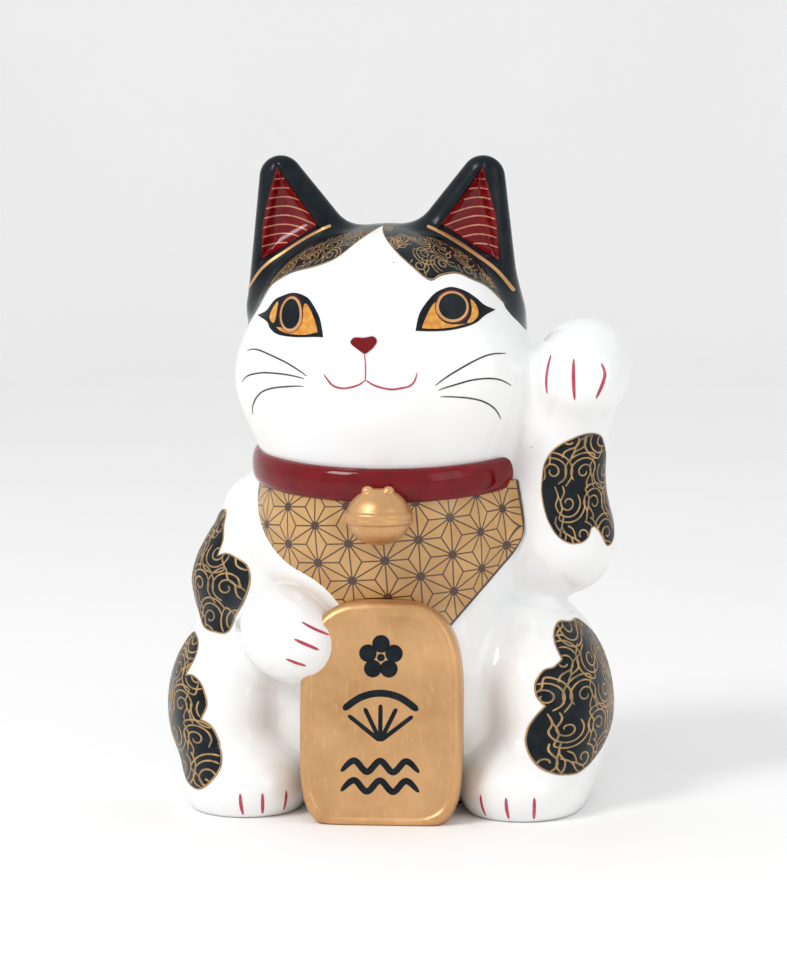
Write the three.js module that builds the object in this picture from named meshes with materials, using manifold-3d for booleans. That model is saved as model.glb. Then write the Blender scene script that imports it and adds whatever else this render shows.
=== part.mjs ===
// A seated beckoning cat: a hollow slip-cast ceramic coin bank, about 205 mm tall. Its castings are luted
// together with clay slip. Its left paw is raised, its right one holds a gold coin plaque, and a soft bung
// closes its base. Millimetres, +Z up. The cat faces -Y, and its left paw is at +X.
import * as THREE from "three";
import { mergeVertices } from "three/addons/utils/BufferGeometryUtils.js";
import Module from "manifold-3d";

const wasm = await Module();
wasm.setup();

// ---------------------------------------------------------------- driving dimensions

const LUTING_GAP = 0.3; // between two pieces that touch
const WALL = 4.5; // of the slip-cast shells
const NECK_Z = 106.5; // middle of the sloping joint where the head is luted on
const NECK_TILT = 5; // degrees that the joint and the collar drop towards the front

const SEAT = { width: 120, depth: 98, height: 92, y: 13, z: 32 }; // the rump, as an ellipsoid
const BELLY = { width: 88, depth: 74, height: 92, y: -12, z: 36 };
const BACK = { width: 90, depth: 76, height: 96, y: 12, belowNeck: 36.5 };
const CHEST = { width: 84, depth: 74, height: 88, y: -6, belowNeck: 26.5 };
const NECK = { width: 82, depth: 84, y: -2.5, hole: 26 };

const HIPS = 142; // width across the two haunches
const HAUNCH = { width: 49, depth: 86, height: 68, y: -5, z: 32 };
const FOOT = { width: 37, length: 42, height: 28, y: -38, z: 8, inset: 29 };
const HEEL = { width: 36, length: 68, height: 28, y: -16, z: 6, inset: 25.5 };

const HEAD = { x: -1, y: -4, turn: -5 }; // turned a little towards the lowered paw
const SKULL = { width: 89, depth: 80, height: 79, z: 36.5 };
const JOWL = { width: 83, depth: 70, height: 52, y: -4, z: 17.5 };
const CHEEK = { radius: 20, out: 26, y: -15, z: 28.5 };
const BROW = { width: 66, depth: 38, height: 32, y: -20, z: 51.5 };
const MUZZLE = { width: 34, depth: 24, height: 24, y: -32, z: 21.5 };

const EAR = { out: 26, lean: 7, rootZ: 63.5, tipZ: 89.8, rootRadius: 18, tipRadius: 8.2, flatness: 1.45 };
const EAR_HOLLOW = { rootRadius: 9.5, tipRadius: 3.5, rootDepth: 6, tipDepth: 2, flatness: 1.2 };

const UPPER_ARM_RADIUS = 14.5;
const WRIST_RADIUS = 12;
const RAISED_PAW = { width: 28.4, depth: 28, height: 26.8, aboveNeck: 32.5 };
const RAISED_TIP = { width: 25, depth: 18, height: 20, forward: 8, drop: 6 };
const LOWERED_PAW = { width: 29, depth: 26, height: 25, belowPlaqueTop: 14.5, toWrist: 13.5 };

const TAIL_RADIUS = 9.5;
const TAIL_RISE = 44;

// The koban is the coin plaque. Its lean is in degrees.
const KOBAN = { width: 50, height: 69, foot: 35, thick: 15, bevel: 2.2, frontY: -64, lean: 6 };
const COLLAR = { height: 10, thick: 4 };
const BIB = { thick: 1.2, width: 88, sideZ: 84, tipZ: 35 };
const BELL = { diameter: 20, height: 17.4, bandWidth: 2.4, bandProud: 0.6, slot: 1.6, belowNeck: 12.5 };

const FOOT_RING = 3; // how far the wall stands down below the floor slab
const BORE = { radius: 16, y: 9 }; // in the slab, for the bung
const BUNG = { flangeOver: 3.5, flangeThick: 1.9, length: 9, clearance: 0.3, taper: 0.8, lead: 0.8 };
const GROOVE = { count: 2, first: 1.5, apart: 2.4, width: 1.2, depth: 0.7 }; // round the bung's plug
const COIN_SLOT = { width: 32, height: 3.6, belowNeck: 21 };
const VENT_RADIUS = 3; // lets the kiln air out of each hollow foreleg

// ---------------------------------------------------------------- rounded volumes

// A volume is a function of a point that gives its distance outside the volume, negative inside. It carries
// the middle that it is seen from when it is made solid.
const vector = (x, y, z) => new THREE.Vector3(x, y, z);
const volumeAt = (middle, distance) => Object.assign(distance, { middle });

function ellipsoid(middle, size, turn = [0, 0, 0]) {
  const radians = turn.map(THREE.MathUtils.degToRad);
  const back = new THREE.Matrix4().makeRotationFromEuler(new THREE.Euler(...radians, "ZYX")).transpose();
  const radii = vector(...size).multiplyScalar(0.5);
  const squared = radii.clone().multiply(radii);
  const q = vector(0, 0, 0);
  const share = vector(0, 0, 0);
  return volumeAt(middle, (p) => {
    q.copy(p).sub(middle).applyMatrix4(back);
    const out = share.copy(q).divide(radii).length();
    const slope = share.copy(q).divide(squared).length() + 1e-9;
    return (out * (out - 1)) / slope;
  });
}

// A round limb from a to b. Its depth along Y is its width divided by its flatness.
function limb(a, b, radiusA, radiusB, flatness = 1) {
  const flat = vector(1, flatness, 1);
  const from = a.clone().multiply(flat);
  const along = b.clone().multiply(flat).sub(from);
  const q = vector(0, 0, 0);
  return volumeAt(a.clone().lerp(b, 0.5), (p) => {
    q.copy(p).multiply(flat).sub(from);
    const share = THREE.MathUtils.clamp(q.dot(along) / along.lengthSq(), 0, 1);
    q.addScaledVector(along, -share);
    return (q.length() - THREE.MathUtils.lerp(radiusA, radiusB, share)) / Math.sqrt(flatness);
  });
}

// One volume out of several, with a fillet of about the given width where they meet. Its middle is that of
// the first one.
function blend(fillet, ...volumes) {
  return volumeAt(volumes[0].middle, (p) =>
    volumes.map((volume) => volume(p)).reduce((sum, d) => {
      const near = Math.max(fillet - Math.abs(sum - d), 0) / fillet;
      return Math.min(sum, d) - (near * near * fillet) / 4;
    }),
  );
}

// The same volume under a placing matrix.
function placed(matrix, volume) {
  const back = matrix.clone().invert();
  const q = vector(0, 0, 0);
  return volumeAt(volume.middle.clone().applyMatrix4(matrix), (p) => volume(q.copy(p).applyMatrix4(back)));
}

// ---------------------------------------------------------------- solids

function solid(geometry) {
  const bare = geometry.clone();
  bare.deleteAttribute("normal");
  bare.deleteAttribute("uv");
  const merged = mergeVertices(bare, 1e-4);
  const mesh = new wasm.Mesh({
    numProp: 3,
    vertProperties: merged.getAttribute("position").array,
    triVerts: new Uint32Array(merged.index.array),
  });
  return new wasm.Manifold(mesh);
}

function geometryOf(made) {
  const { numProp, vertProperties, triVerts } = made.getMesh();
  const points = [];
  for (const corner of triVerts) {
    points.push(...vertProperties.subarray(corner * numProp, corner * numProp + 3));
  }
  const geometry = new THREE.BufferGeometry();
  geometry.setAttribute("position", new THREE.Float32BufferAttribute(points, 3));
  geometry.computeVertexNormals();
  return geometry;
}

// A ball of triangles, shrunk along its own rays on to the surface that lies the given distance outside a
// volume.
function wrapped(volume, outside, detail) {
  const farthest = 150;
  const geometry = new THREE.IcosahedronGeometry(1, detail);
  const points = geometry.getAttribute("position");
  const ray = vector(0, 0, 0);
  const p = vector(0, 0, 0);
  for (let i = 0; i < points.count; i++) {
    ray.fromBufferAttribute(points, i);
    let far = farthest;
    for (let step = 0; step < 200; step++) {
      const d = volume(p.copy(volume.middle).addScaledVector(ray, far)) - outside;
      if (Math.abs(d) < 1e-4) break;
      far = Math.max(far - 0.7 * d, 0.5);
    }
    points.setXYZ(i, p.x, p.y, p.z);
  }
  return solid(geometry);
}

// Several volumes joined into one solid, all of them drawn out or in by the same distance.
const joined = (volumes, outside, detail) =>
  volumes.map((volume) => wrapped(volume, outside, detail)).reduce((all, one) => all.add(one));

const OUTSIDE_DETAIL = 6; // of a large casting's outer surface, so that a neighbour's gap to it is even
const INSIDE_DETAIL = 3; // of the surface inside its wall

const block = (width, depth, height, x, y, z) =>
  solid(new THREE.BoxGeometry(width, depth, height).translate(x, y, z));

function upright(radiusX, radiusY, height, x, y, z, sides = 40) {
  const round = new THREE.CylinderGeometry(1, 1, height, sides).rotateX(Math.PI / 2);
  return solid(round.scale(radiusX, radiusY, 1).translate(x, y, z));
}

const BIG = 300;
const aboveBase = (made) => made.subtract(block(BIG, BIG, BIG, 0, 0, -BIG / 2));

// Everything on one side of the neck joint: side 1 is the space over it, and side -1 the space under it.
function neckSpace(side, shift) {
  const space = new THREE.BoxGeometry(BIG, BIG, BIG).translate(0, 0, (side * BIG) / 2 + shift);
  return solid(space.rotateX(THREE.MathUtils.degToRad(NECK_TILT)).translate(0, NECK.y, NECK_Z));
}

// ---------------------------------------------------------------- torso, with haunches and hind feet

const seat = ellipsoid(vector(0, SEAT.y, SEAT.z), [SEAT.width, SEAT.depth, SEAT.height]);
const belly = ellipsoid(vector(0, BELLY.y, BELLY.z), [BELLY.width, BELLY.depth, BELLY.height]);
const back = ellipsoid(vector(0, BACK.y, NECK_Z - BACK.belowNeck), [BACK.width, BACK.depth, BACK.height]);
const chest = ellipsoid(
  vector(-1, CHEST.y, NECK_Z - CHEST.belowNeck),
  [CHEST.width, CHEST.depth, CHEST.height],
);
const neck = limb(
  vector(-0.5, NECK.y, NECK_Z - 14.5),
  vector(-0.5, NECK.y, NECK_Z + 18.5),
  NECK.width / 2,
  NECK.width / 2 - 2,
  NECK.width / NECK.depth,
);
const trunk = blend(10, blend(14, seat, back, chest, belly), neck);
trunk.middle = vector(0, 4, NECK_Z / 2);

function hindLeg(side) {
  const hip = (side * HIPS) / 2;
  const haunch = ellipsoid(
    vector(hip - (side * HAUNCH.width) / 2, HAUNCH.y, HAUNCH.z),
    [HAUNCH.width, HAUNCH.depth, HAUNCH.height],
    [0, side * -8, side * 6],
  );
  const foot = ellipsoid(
    vector(hip - side * FOOT.inset, FOOT.y, FOOT.z),
    [FOOT.width, FOOT.length, FOOT.height],
    [0, 0, side * 6],
  );
  const heel = ellipsoid(
    vector(hip - side * HEEL.inset, HEEL.y, HEEL.z),
    [HEEL.width, HEEL.length, HEEL.height],
    [0, 0, side * 4],
  );
  const leg = blend(9, haunch, foot, heel);
  leg.middle = vector(hip - (side * HAUNCH.width) / 2, HAUNCH.y - 8, HAUNCH.z / 2);
  return leg;
}

const torsoVolumes = [trunk, hindLeg(-1), hindLeg(1)];
const torsoClear = joined(torsoVolumes, LUTING_GAP, OUTSIDE_DETAIL);

function ventHole(from, to) {
  const length = from.distanceTo(to);
  const hole = new THREE.CylinderGeometry(VENT_RADIUS, VENT_RADIUS, length, 12).rotateX(Math.PI / 2);
  const aim = new THREE.Matrix4().lookAt(to, from, vector(0, 0, 1)).setPosition(from.clone().lerp(to, 0.5));
  return solid(hole.applyMatrix4(aim));
}

const SHOULDER_X = CHEST.width / 2 - 1; // both forelegs start at the sides of the chest

function torsoShell() {
  const vents = [-1, 1].map((side) =>
    ventHole(
      vector(side * (SHOULDER_X - 3 * WALL), -8, NECK_Z - 24),
      vector(side * (SHOULDER_X + WALL), -8, NECK_Z - 26),
    ),
  );
  const slotZ = NECK_Z - COIN_SLOT.belowNeck;
  const slot = block(COIN_SLOT.width, BACK.depth, COIN_SLOT.height, 0, BACK.depth / 2 + 20, slotZ);
  return aboveBase(joined(torsoVolumes, 0, OUTSIDE_DETAIL))
    .subtract(neckSpace(1, -LUTING_GAP))
    .subtract(joined(torsoVolumes, -WALL, INSIDE_DETAIL).subtract(neckSpace(1, -WALL)))
    .subtract(upright(NECK.hole, NECK.hole, 6 * WALL, 0, NECK.y, NECK_Z))
    .subtract(slot)
    .subtract(vents[0])
    .subtract(vents[1]);
}

// A slab of clay that closes the bottom, set up inside the wall so that the wall makes a foot ring.
function floorSlab() {
  const middle = FOOT_RING + WALL / 2;
  return joined(torsoVolumes, -WALL - LUTING_GAP, INSIDE_DETAIL)
    .intersect(block(BIG, BIG, WALL, 0, 0, middle))
    .subtract(upright(BORE.radius, BORE.radius, 2 * WALL, 0, BORE.y, middle, 32));
}

// ---------------------------------------------------------------- head and ears, in the head's own frame

const headTurn = THREE.MathUtils.degToRad(HEAD.turn);
const headPlace = new THREE.Matrix4().makeRotationZ(headTurn).setPosition(HEAD.x, HEAD.y, NECK_Z);

const skull = ellipsoid(vector(0, 0, SKULL.z), [SKULL.width, SKULL.depth, SKULL.height]);
const jowl = ellipsoid(vector(0, JOWL.y, JOWL.z), [JOWL.width, JOWL.depth, JOWL.height]);
const cheeks = [-1, 1].map((side) =>
  ellipsoid(vector(side * CHEEK.out, CHEEK.y, CHEEK.z), Array(3).fill(2 * CHEEK.radius)),
);
const brow = ellipsoid(vector(0, BROW.y, BROW.z), [BROW.width, BROW.depth, BROW.height]);
const muzzle = ellipsoid(vector(0, MUZZLE.y, MUZZLE.z), [MUZZLE.width, MUZZLE.depth, MUZZLE.height]);
const face = blend(9, blend(10, blend(14, skull, jowl), ...cheeks, brow), muzzle);
const headVolumes = [blend(10, placed(headPlace, face), neck)];
const headClear = joined(headVolumes, LUTING_GAP, OUTSIDE_DETAIL);

function headShell() {
  const inside = joined(headVolumes, -WALL, INSIDE_DETAIL).subtract(neckSpace(-1, WALL));
  return joined(headVolumes, 0, OUTSIDE_DETAIL)
    .subtract(neckSpace(-1, 0))
    .subtract(inside)
    .subtract(upright(NECK.hole, NECK.hole, 6 * WALL, 0, NECK.y, NECK_Z));
}

function ear(side) {
  const root = vector(side * EAR.out, -1, EAR.rootZ);
  const tip = vector(side * (EAR.out + EAR.lean), -3, EAR.tipZ);
  const flap = limb(root, tip, EAR.rootRadius, EAR.tipRadius, EAR.flatness);
  const frontOf = (earRadius, hollowRadius, depth) =>
    depth - earRadius / EAR.flatness - hollowRadius / EAR_HOLLOW.flatness;
  const hollow = limb(
    root.clone().add(vector(0, frontOf(EAR.rootRadius, EAR_HOLLOW.rootRadius, EAR_HOLLOW.rootDepth), 2)),
    tip.clone().add(vector(0, frontOf(EAR.tipRadius, EAR_HOLLOW.tipRadius, EAR_HOLLOW.tipDepth), -2)),
    EAR_HOLLOW.rootRadius,
    EAR_HOLLOW.tipRadius,
    EAR_HOLLOW.flatness,
  );
  return wrapped(placed(headPlace, flap), 0, 5)
    .subtract(wrapped(placed(headPlace, hollow), 0, 3))
    .subtract(headClear);
}

// ---------------------------------------------------------------- forelegs

const raisedElbow = vector(SHOULDER_X + 14, -13, NECK_Z - 24.5);
const raisedWrist = vector(SHOULDER_X + 14.5, -20, NECK_Z + RAISED_PAW.aboveNeck - 19);
const raisedPaw = vector(SHOULDER_X + 20.6, -24, NECK_Z + RAISED_PAW.aboveNeck);
const raisedTip = raisedPaw.clone().add(vector(-0.5, -RAISED_TIP.forward, -RAISED_TIP.drop));
const raisedVolumes = [
  limb(vector(SHOULDER_X - 1, -2, NECK_Z - 28.5), raisedElbow, UPPER_ARM_RADIUS, UPPER_ARM_RADIUS),
  limb(raisedElbow, raisedWrist, UPPER_ARM_RADIUS, WRIST_RADIUS),
  limb(raisedWrist, raisedPaw, WRIST_RADIUS, WRIST_RADIUS),
  blend(
    6,
    ellipsoid(raisedPaw, [RAISED_PAW.width, RAISED_PAW.depth, RAISED_PAW.height], [12, 0, 0]),
    ellipsoid(raisedTip, [RAISED_TIP.width, RAISED_TIP.depth, RAISED_TIP.height]),
  ),
  // The web that ties the foreleg to the neck and the cheek.
  ellipsoid(vector(SHOULDER_X + 5, -13, NECK_Z - 1), [20, 18, 60]),
];

const loweredElbow = vector(-SHOULDER_X - 5, -14, NECK_Z - 37.5);
const loweredPaw = vector(-26, -51, KOBAN.height - LOWERED_PAW.belowPlaqueTop);
const loweredWrist = loweredElbow.clone().sub(loweredPaw).setLength(LOWERED_PAW.toWrist).add(loweredPaw);
const loweredVolumes = [
  limb(vector(-SHOULDER_X, -2, NECK_Z - 18), loweredElbow, UPPER_ARM_RADIUS, UPPER_ARM_RADIUS),
  limb(loweredElbow, loweredWrist, UPPER_ARM_RADIUS, WRIST_RADIUS + 0.5),
  ellipsoid(loweredPaw, [LOWERED_PAW.width, LOWERED_PAW.depth, LOWERED_PAW.height], [0, 28, 30]),
];

const raisedClear = joined(raisedVolumes, LUTING_GAP, 3);
const loweredClear = joined(loweredVolumes, LUTING_GAP, 3);
const foreleg = (volumes) => joined(volumes, 0, 3).subtract(joined(volumes, -WALL, 2)).subtract(torsoClear);

// ---------------------------------------------------------------- tail

function tail() {
  const rump = SEAT.y + SEAT.depth / 2;
  const bends = [
    vector(2, rump - 5, 13),
    vector(21, rump - 7, 17),
    vector(27, rump - 9, 17 + TAIL_RISE / 2),
    vector(15, rump - 9, 13 + TAIL_RISE),
  ];
  const curl = bends
    .slice(1)
    .map((end, i) => limb(bends[i], end, TAIL_RADIUS - i / 2, TAIL_RADIUS - (i + 1) / 2));
  return joined(curl, 0, 3).subtract(torsoClear);
}

// ---------------------------------------------------------------- coin plaque, collar, bib and bell

function coinPlate() {
  const side = KOBAN.width / 2 - KOBAN.bevel;
  const foot = KOBAN.foot / 2 - KOBAN.bevel;
  const top = KOBAN.height - KOBAN.bevel;
  const widest = KOBAN.height / 2;
  const outline = new THREE.Shape();
  outline.moveTo(-foot, KOBAN.bevel);
  outline.lineTo(foot, KOBAN.bevel);
  outline.bezierCurveTo(side - 1, KOBAN.bevel + 1, side, KOBAN.bevel + 8, side, widest);
  outline.bezierCurveTo(side, top - 2, side * 0.78, top, 0, top);
  outline.bezierCurveTo(-side * 0.78, top, -side, top - 2, -side, widest);
  outline.bezierCurveTo(-side, KOBAN.bevel + 8, 1 - side, KOBAN.bevel + 1, -foot, KOBAN.bevel);
  const plate = new THREE.ExtrudeGeometry(outline, {
    depth: KOBAN.thick,
    bevelThickness: KOBAN.bevel,
    bevelSize: KOBAN.bevel,
    bevelSegments: 2,
    curveSegments: 9,
  });
  plate.rotateX(Math.PI / 2).translate(0, KOBAN.thick, 0);
  plate.rotateX(THREE.MathUtils.degToRad(-KOBAN.lean)).translate(0.7, KOBAN.frontY + KOBAN.bevel, 0);
  return aboveBase(solid(plate));
}

// The collar band, drawn out by a clearance on its outer side, its top and its bottom.
function collarRing(clearance) {
  const inner = NECK.width / 2 - COLLAR.thick / 2;
  const outer = NECK.width / 2 + COLLAR.thick + clearance;
  const half = COLLAR.height / 2 + clearance;
  const crown = COLLAR.thick / 2;
  const profile = [new THREE.Vector2(inner, -half), new THREE.Vector2(outer - crown, -half)];
  for (let i = 1; i < 5; i++) {
    const angle = (i / 5 - 0.5) * Math.PI;
    profile.push(new THREE.Vector2(outer - crown + crown * Math.cos(angle), half * Math.sin(angle)));
  }
  profile.push(new THREE.Vector2(outer - crown, half), new THREE.Vector2(inner, half), profile[0].clone());
  const ring = new THREE.LatheGeometry(profile, 36).rotateX(Math.PI / 2).scale(1, NECK.depth / NECK.width, 1);
  return solid(ring.rotateX(THREE.MathUtils.degToRad(NECK_TILT)).translate(-0.5, NECK.y, NECK_Z));
}

const plate = coinPlate();
const plateClear = plate.add(plate.translate([0, 0, LUTING_GAP]));
const collar = collarRing(0)
  .subtract(torsoClear)
  .subtract(headClear)
  .subtract(raisedClear)
  .subtract(loweredClear);
const collarClear = collarRing(LUTING_GAP);

function bib() {
  const half = BIB.width / 2;
  const outline = new THREE.Shape();
  outline.moveTo(-half, NECK_Z);
  outline.lineTo(-half, BIB.sideZ);
  outline.lineTo(0, BIB.tipZ);
  outline.lineTo(half, BIB.sideZ);
  outline.lineTo(half, NECK_Z);
  const front = new THREE.ExtrudeGeometry(outline, { depth: BIG, bevelEnabled: false });
  front.rotateX(Math.PI / 2).translate(0, NECK.y - 10, 0);
  return solid(front)
    .intersect(wrapped(trunk, LUTING_GAP + BIB.thick, OUTSIDE_DETAIL))
    .subtract(torsoClear)
    .subtract(neckSpace(1, -COLLAR.height / 2 - LUTING_GAP))
    .subtract(plateClear)
    .subtract(raisedClear)
    .subtract(loweredClear);
}

function bell() {
  const radius = BELL.diameter / 2;
  const rise = BELL.height / 2;
  const band = BELL.bandWidth / 2;
  const wide = radius + BELL.bandProud;
  const profile = [];
  const arc = (from, to) => {
    for (let i = from; i <= to; i++) {
      const angle = (i / 10 - 0.5) * Math.PI;
      profile.push(new THREE.Vector2(i % 10 === 0 ? 0 : radius * Math.cos(angle), rise * Math.sin(angle)));
    }
  };
  arc(0, 4);
  profile.push(new THREE.Vector2(wide - 0.8, -band), new THREE.Vector2(wide, -band / 2));
  profile.push(new THREE.Vector2(wide, band / 2), new THREE.Vector2(wide - 0.8, band));
  arc(6, 10);
  const z = NECK_Z - BELL.belowNeck;
  const y = NECK.y - NECK.depth / 2 - radius + 0.5;
  const ball = new THREE.LatheGeometry(profile, 24).rotateX(Math.PI / 2).translate(-0.3, y, z);
  return solid(ball)
    .subtract(block(BELL.slot, BELL.diameter * 2, 5, -0.3, y, z - rise))
    .subtract(wrapped(trunk, 2 * LUTING_GAP + BIB.thick, OUTSIDE_DETAIL))
    .subtract(collarClear)
    .subtract(headClear);
}

// ---------------------------------------------------------------- the bung in the base

function baseBung() {
  const plug = BORE.radius - BUNG.clearance;
  const flange = BORE.radius + BUNG.flangeOver;
  const seatZ = FOOT_RING - BUNG.clearance;
  const top = seatZ + BUNG.length;
  const end = plug - BUNG.taper;
  const round = BUNG.flangeThick / 4;
  const profile = [];
  const turnAt = (radius, z) => profile.push(new THREE.Vector2(radius, z));
  turnAt(0, seatZ - BUNG.flangeThick);
  turnAt(flange - round, seatZ - BUNG.flangeThick);
  turnAt(flange, seatZ - BUNG.flangeThick + round);
  turnAt(flange, seatZ);
  turnAt(plug, seatZ);
  for (let i = 0; i < GROOVE.count; i++) {
    const above = GROOVE.first + GROOVE.apart * i;
    const out = plug - (BUNG.taper * above) / BUNG.length;
    turnAt(out, seatZ + above - GROOVE.width / 2);
    turnAt(out - GROOVE.depth, seatZ + above);
    turnAt(out, seatZ + above + GROOVE.width / 2);
  }
  turnAt(end, top - BUNG.lead);
  turnAt(end - BUNG.lead, top);
  turnAt(0, top);
  return solid(new THREE.LatheGeometry(profile, 24).rotateX(Math.PI / 2).translate(0, BORE.y, 0));
}

// ---------------------------------------------------------------- finishes and assembly

const finish = (color, roughness, metalness = 0) =>
  new THREE.MeshStandardMaterial({ color, roughness, metalness });
const whiteGlaze = finish(0xf2f2ee, 0.12);
const blackGlaze = finish(0x0d1417, 0.15);
const goldPaint = finish(0xc98f4e, 0.35, 0.5);
const redGlaze = finish(0x7d0f1c, 0.12);
const bibGlaze = finish(0xb98646, 0.3);
const softRubber = finish(0xd9d6cc, 0.7);

const cat = new THREE.Group();
cat.name = "beckoning_cat";

function add(name, made, material) {
  const mesh = new THREE.Mesh(geometryOf(made), material);
  mesh.name = name;
  cat.add(mesh);
}

add("torso_shell", torsoShell(), whiteGlaze);
add("floor_slab", floorSlab(), whiteGlaze);
add("head_shell", headShell(), whiteGlaze);
add("left_ear", ear(1), blackGlaze);
add("right_ear", ear(-1), blackGlaze);
add("raised_foreleg", foreleg(raisedVolumes).subtract(headClear), whiteGlaze);
add("lowered_foreleg", foreleg(loweredVolumes), whiteGlaze);
add("tail", tail(), blackGlaze);
add("coin_plaque", plate.subtract(torsoClear).subtract(loweredClear), goldPaint);
add("collar", collar, redGlaze);
add("bib", bib(), bibGlaze);
add("bell", bell(), goldPaint);
add("base_bung", baseBung(), softRubber);

// The origin is under the middle of the whole figure.
const extent = new THREE.Box3().setFromObject(cat);
cat.position.set(-(extent.min.x + extent.max.x) / 2, -(extent.min.y + extent.max.y) / 2, -extent.min.z);

export default cat;
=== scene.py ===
import math

import bpy
import numpy as np
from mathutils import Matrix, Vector
from mathutils.geometry import delaunay_2d_cdt


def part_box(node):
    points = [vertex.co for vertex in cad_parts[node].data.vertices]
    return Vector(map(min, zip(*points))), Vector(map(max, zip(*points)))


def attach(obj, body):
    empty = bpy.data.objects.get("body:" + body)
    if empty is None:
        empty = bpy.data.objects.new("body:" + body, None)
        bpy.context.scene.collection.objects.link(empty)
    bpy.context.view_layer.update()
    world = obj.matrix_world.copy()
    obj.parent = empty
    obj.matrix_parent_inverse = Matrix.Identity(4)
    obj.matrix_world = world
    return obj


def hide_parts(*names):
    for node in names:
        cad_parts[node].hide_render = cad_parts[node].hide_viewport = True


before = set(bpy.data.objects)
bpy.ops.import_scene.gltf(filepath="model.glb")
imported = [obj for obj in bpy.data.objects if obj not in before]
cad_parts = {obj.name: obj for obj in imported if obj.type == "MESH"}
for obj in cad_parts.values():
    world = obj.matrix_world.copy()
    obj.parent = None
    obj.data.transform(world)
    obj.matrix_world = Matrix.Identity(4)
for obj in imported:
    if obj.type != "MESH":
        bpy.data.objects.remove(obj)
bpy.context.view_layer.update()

# ---- Body casting ------------------------------------
# The seated body is one hollow slip casting in white porcelain: rump, belly, back, chest and neck, with
# both haunches and hind feet. The slip is drained from its open bottom, the edge of the wall is ground
# flat to stand on, and the whole casting is dipped in clear glaze.

MM = 0.001
bung_low, bung_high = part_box("base_bung")
BORE_Y = 9  # the bung's bore lies this far behind the body's middle, in mm
BODY_MIDDLE = np.array([(bung_low.x + bung_high.x) / 2, (bung_low.y + bung_high.y) / 2 - BORE_Y * MM, 0])
WALL = 4.5
FOOT_RING = 3
NECK_Z = 106.5
NECK_TILT = 5
NECK_SQUASH = 82 / 84  # its width for its depth
JOINT_GAP = 0.3


# A form is a function of points, in mm from the body's middle, that gives their distance outside the form.
def egg(middle, size, turn=(0, 0, 0)):
    a, b, c = np.radians(turn)
    about_x = np.array([[1, 0, 0], [0, math.cos(a), -math.sin(a)], [0, math.sin(a), math.cos(a)]])
    about_y = np.array([[math.cos(b), 0, math.sin(b)], [0, 1, 0], [-math.sin(b), 0, math.cos(b)]])
    about_z = np.array([[math.cos(c), -math.sin(c), 0], [math.sin(c), math.cos(c), 0], [0, 0, 1]])
    axes = about_z @ about_y @ about_x
    radii = np.array(size) / 2

    def form(p):
        q = (p - np.array(middle)) @ axes
        out = np.sqrt(((q / radii) ** 2).sum(-1))
        slope = np.sqrt(((q / radii**2) ** 2).sum(-1)) + 1e-9
        return out * (out - 1) / slope

    return form


def limb(start, end, start_radius, end_radius, flatness=1):
    flat = np.array([1, flatness, 1])
    a = np.array(start) * flat
    along = np.array(end) * flat - a

    def form(p):
        q = p * flat - a
        share = np.clip(q @ along / (along @ along), 0, 1)
        radius = start_radius + (end_radius - start_radius) * share
        return (np.linalg.norm(q - share[..., None] * along, axis=-1) - radius) / math.sqrt(flatness)

    return form


def melt(fillet, a, b):
    near = np.maximum(fillet - np.abs(a - b), 0) / fillet
    return np.minimum(a, b) - near * near * fillet / 4


def blend(fillet, *forms):
    def form(p):
        out = forms[0](p)
        for other in forms[1:]:
            out = melt(fillet, out, other(p))
        return out

    return form


def carve(edge, form, *cutters):
    def carved(p):
        out = form(p)
        for cutter in cutters:
            out = -melt(edge, -out, cutter(p))
        return out

    return carved


def grown(form, by):
    return lambda p: form(p) - by


def under_floor(p):
    return p[..., 2]


def neck_height(p):
    tilt = math.radians(NECK_TILT)
    return (p[..., 2] - NECK_Z) * math.cos(tilt) - (p[..., 1] - NECK_MIDDLE[1]) * math.sin(tilt)


NECK_MIDDLE = (-0.5, -2.5)
rump = egg((0, 13, 32), (120, 98, 92))
belly = egg((0, -12, 36), (88, 74, 92))
back = egg((0, 12, NECK_Z - 36.5), (90, 76, 96))
chest = egg((-1, -6, NECK_Z - 26.5), (84, 74, 88))
neck = limb((*NECK_MIDDLE, NECK_Z - 14.5), (*NECK_MIDDLE, NECK_Z + 18.5), 41, 39, NECK_SQUASH)
trunk = blend(10, blend(14, rump, belly, back, chest), neck)


def hind_leg(side):
    haunch = egg((side * 46.5, -5, 32), (49, 86, 68), (0, side * -8, side * 6))
    foot = egg((side * 42, -38, 8), (37, 42, 28), (0, 0, side * 6))
    heel = egg((side * 45.5, -16, 6), (36, 68, 28), (0, 0, side * 4))
    return blend(9, haunch, foot, heel)


body_form = blend(6, trunk, hind_leg(-1), hind_leg(1))


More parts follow.
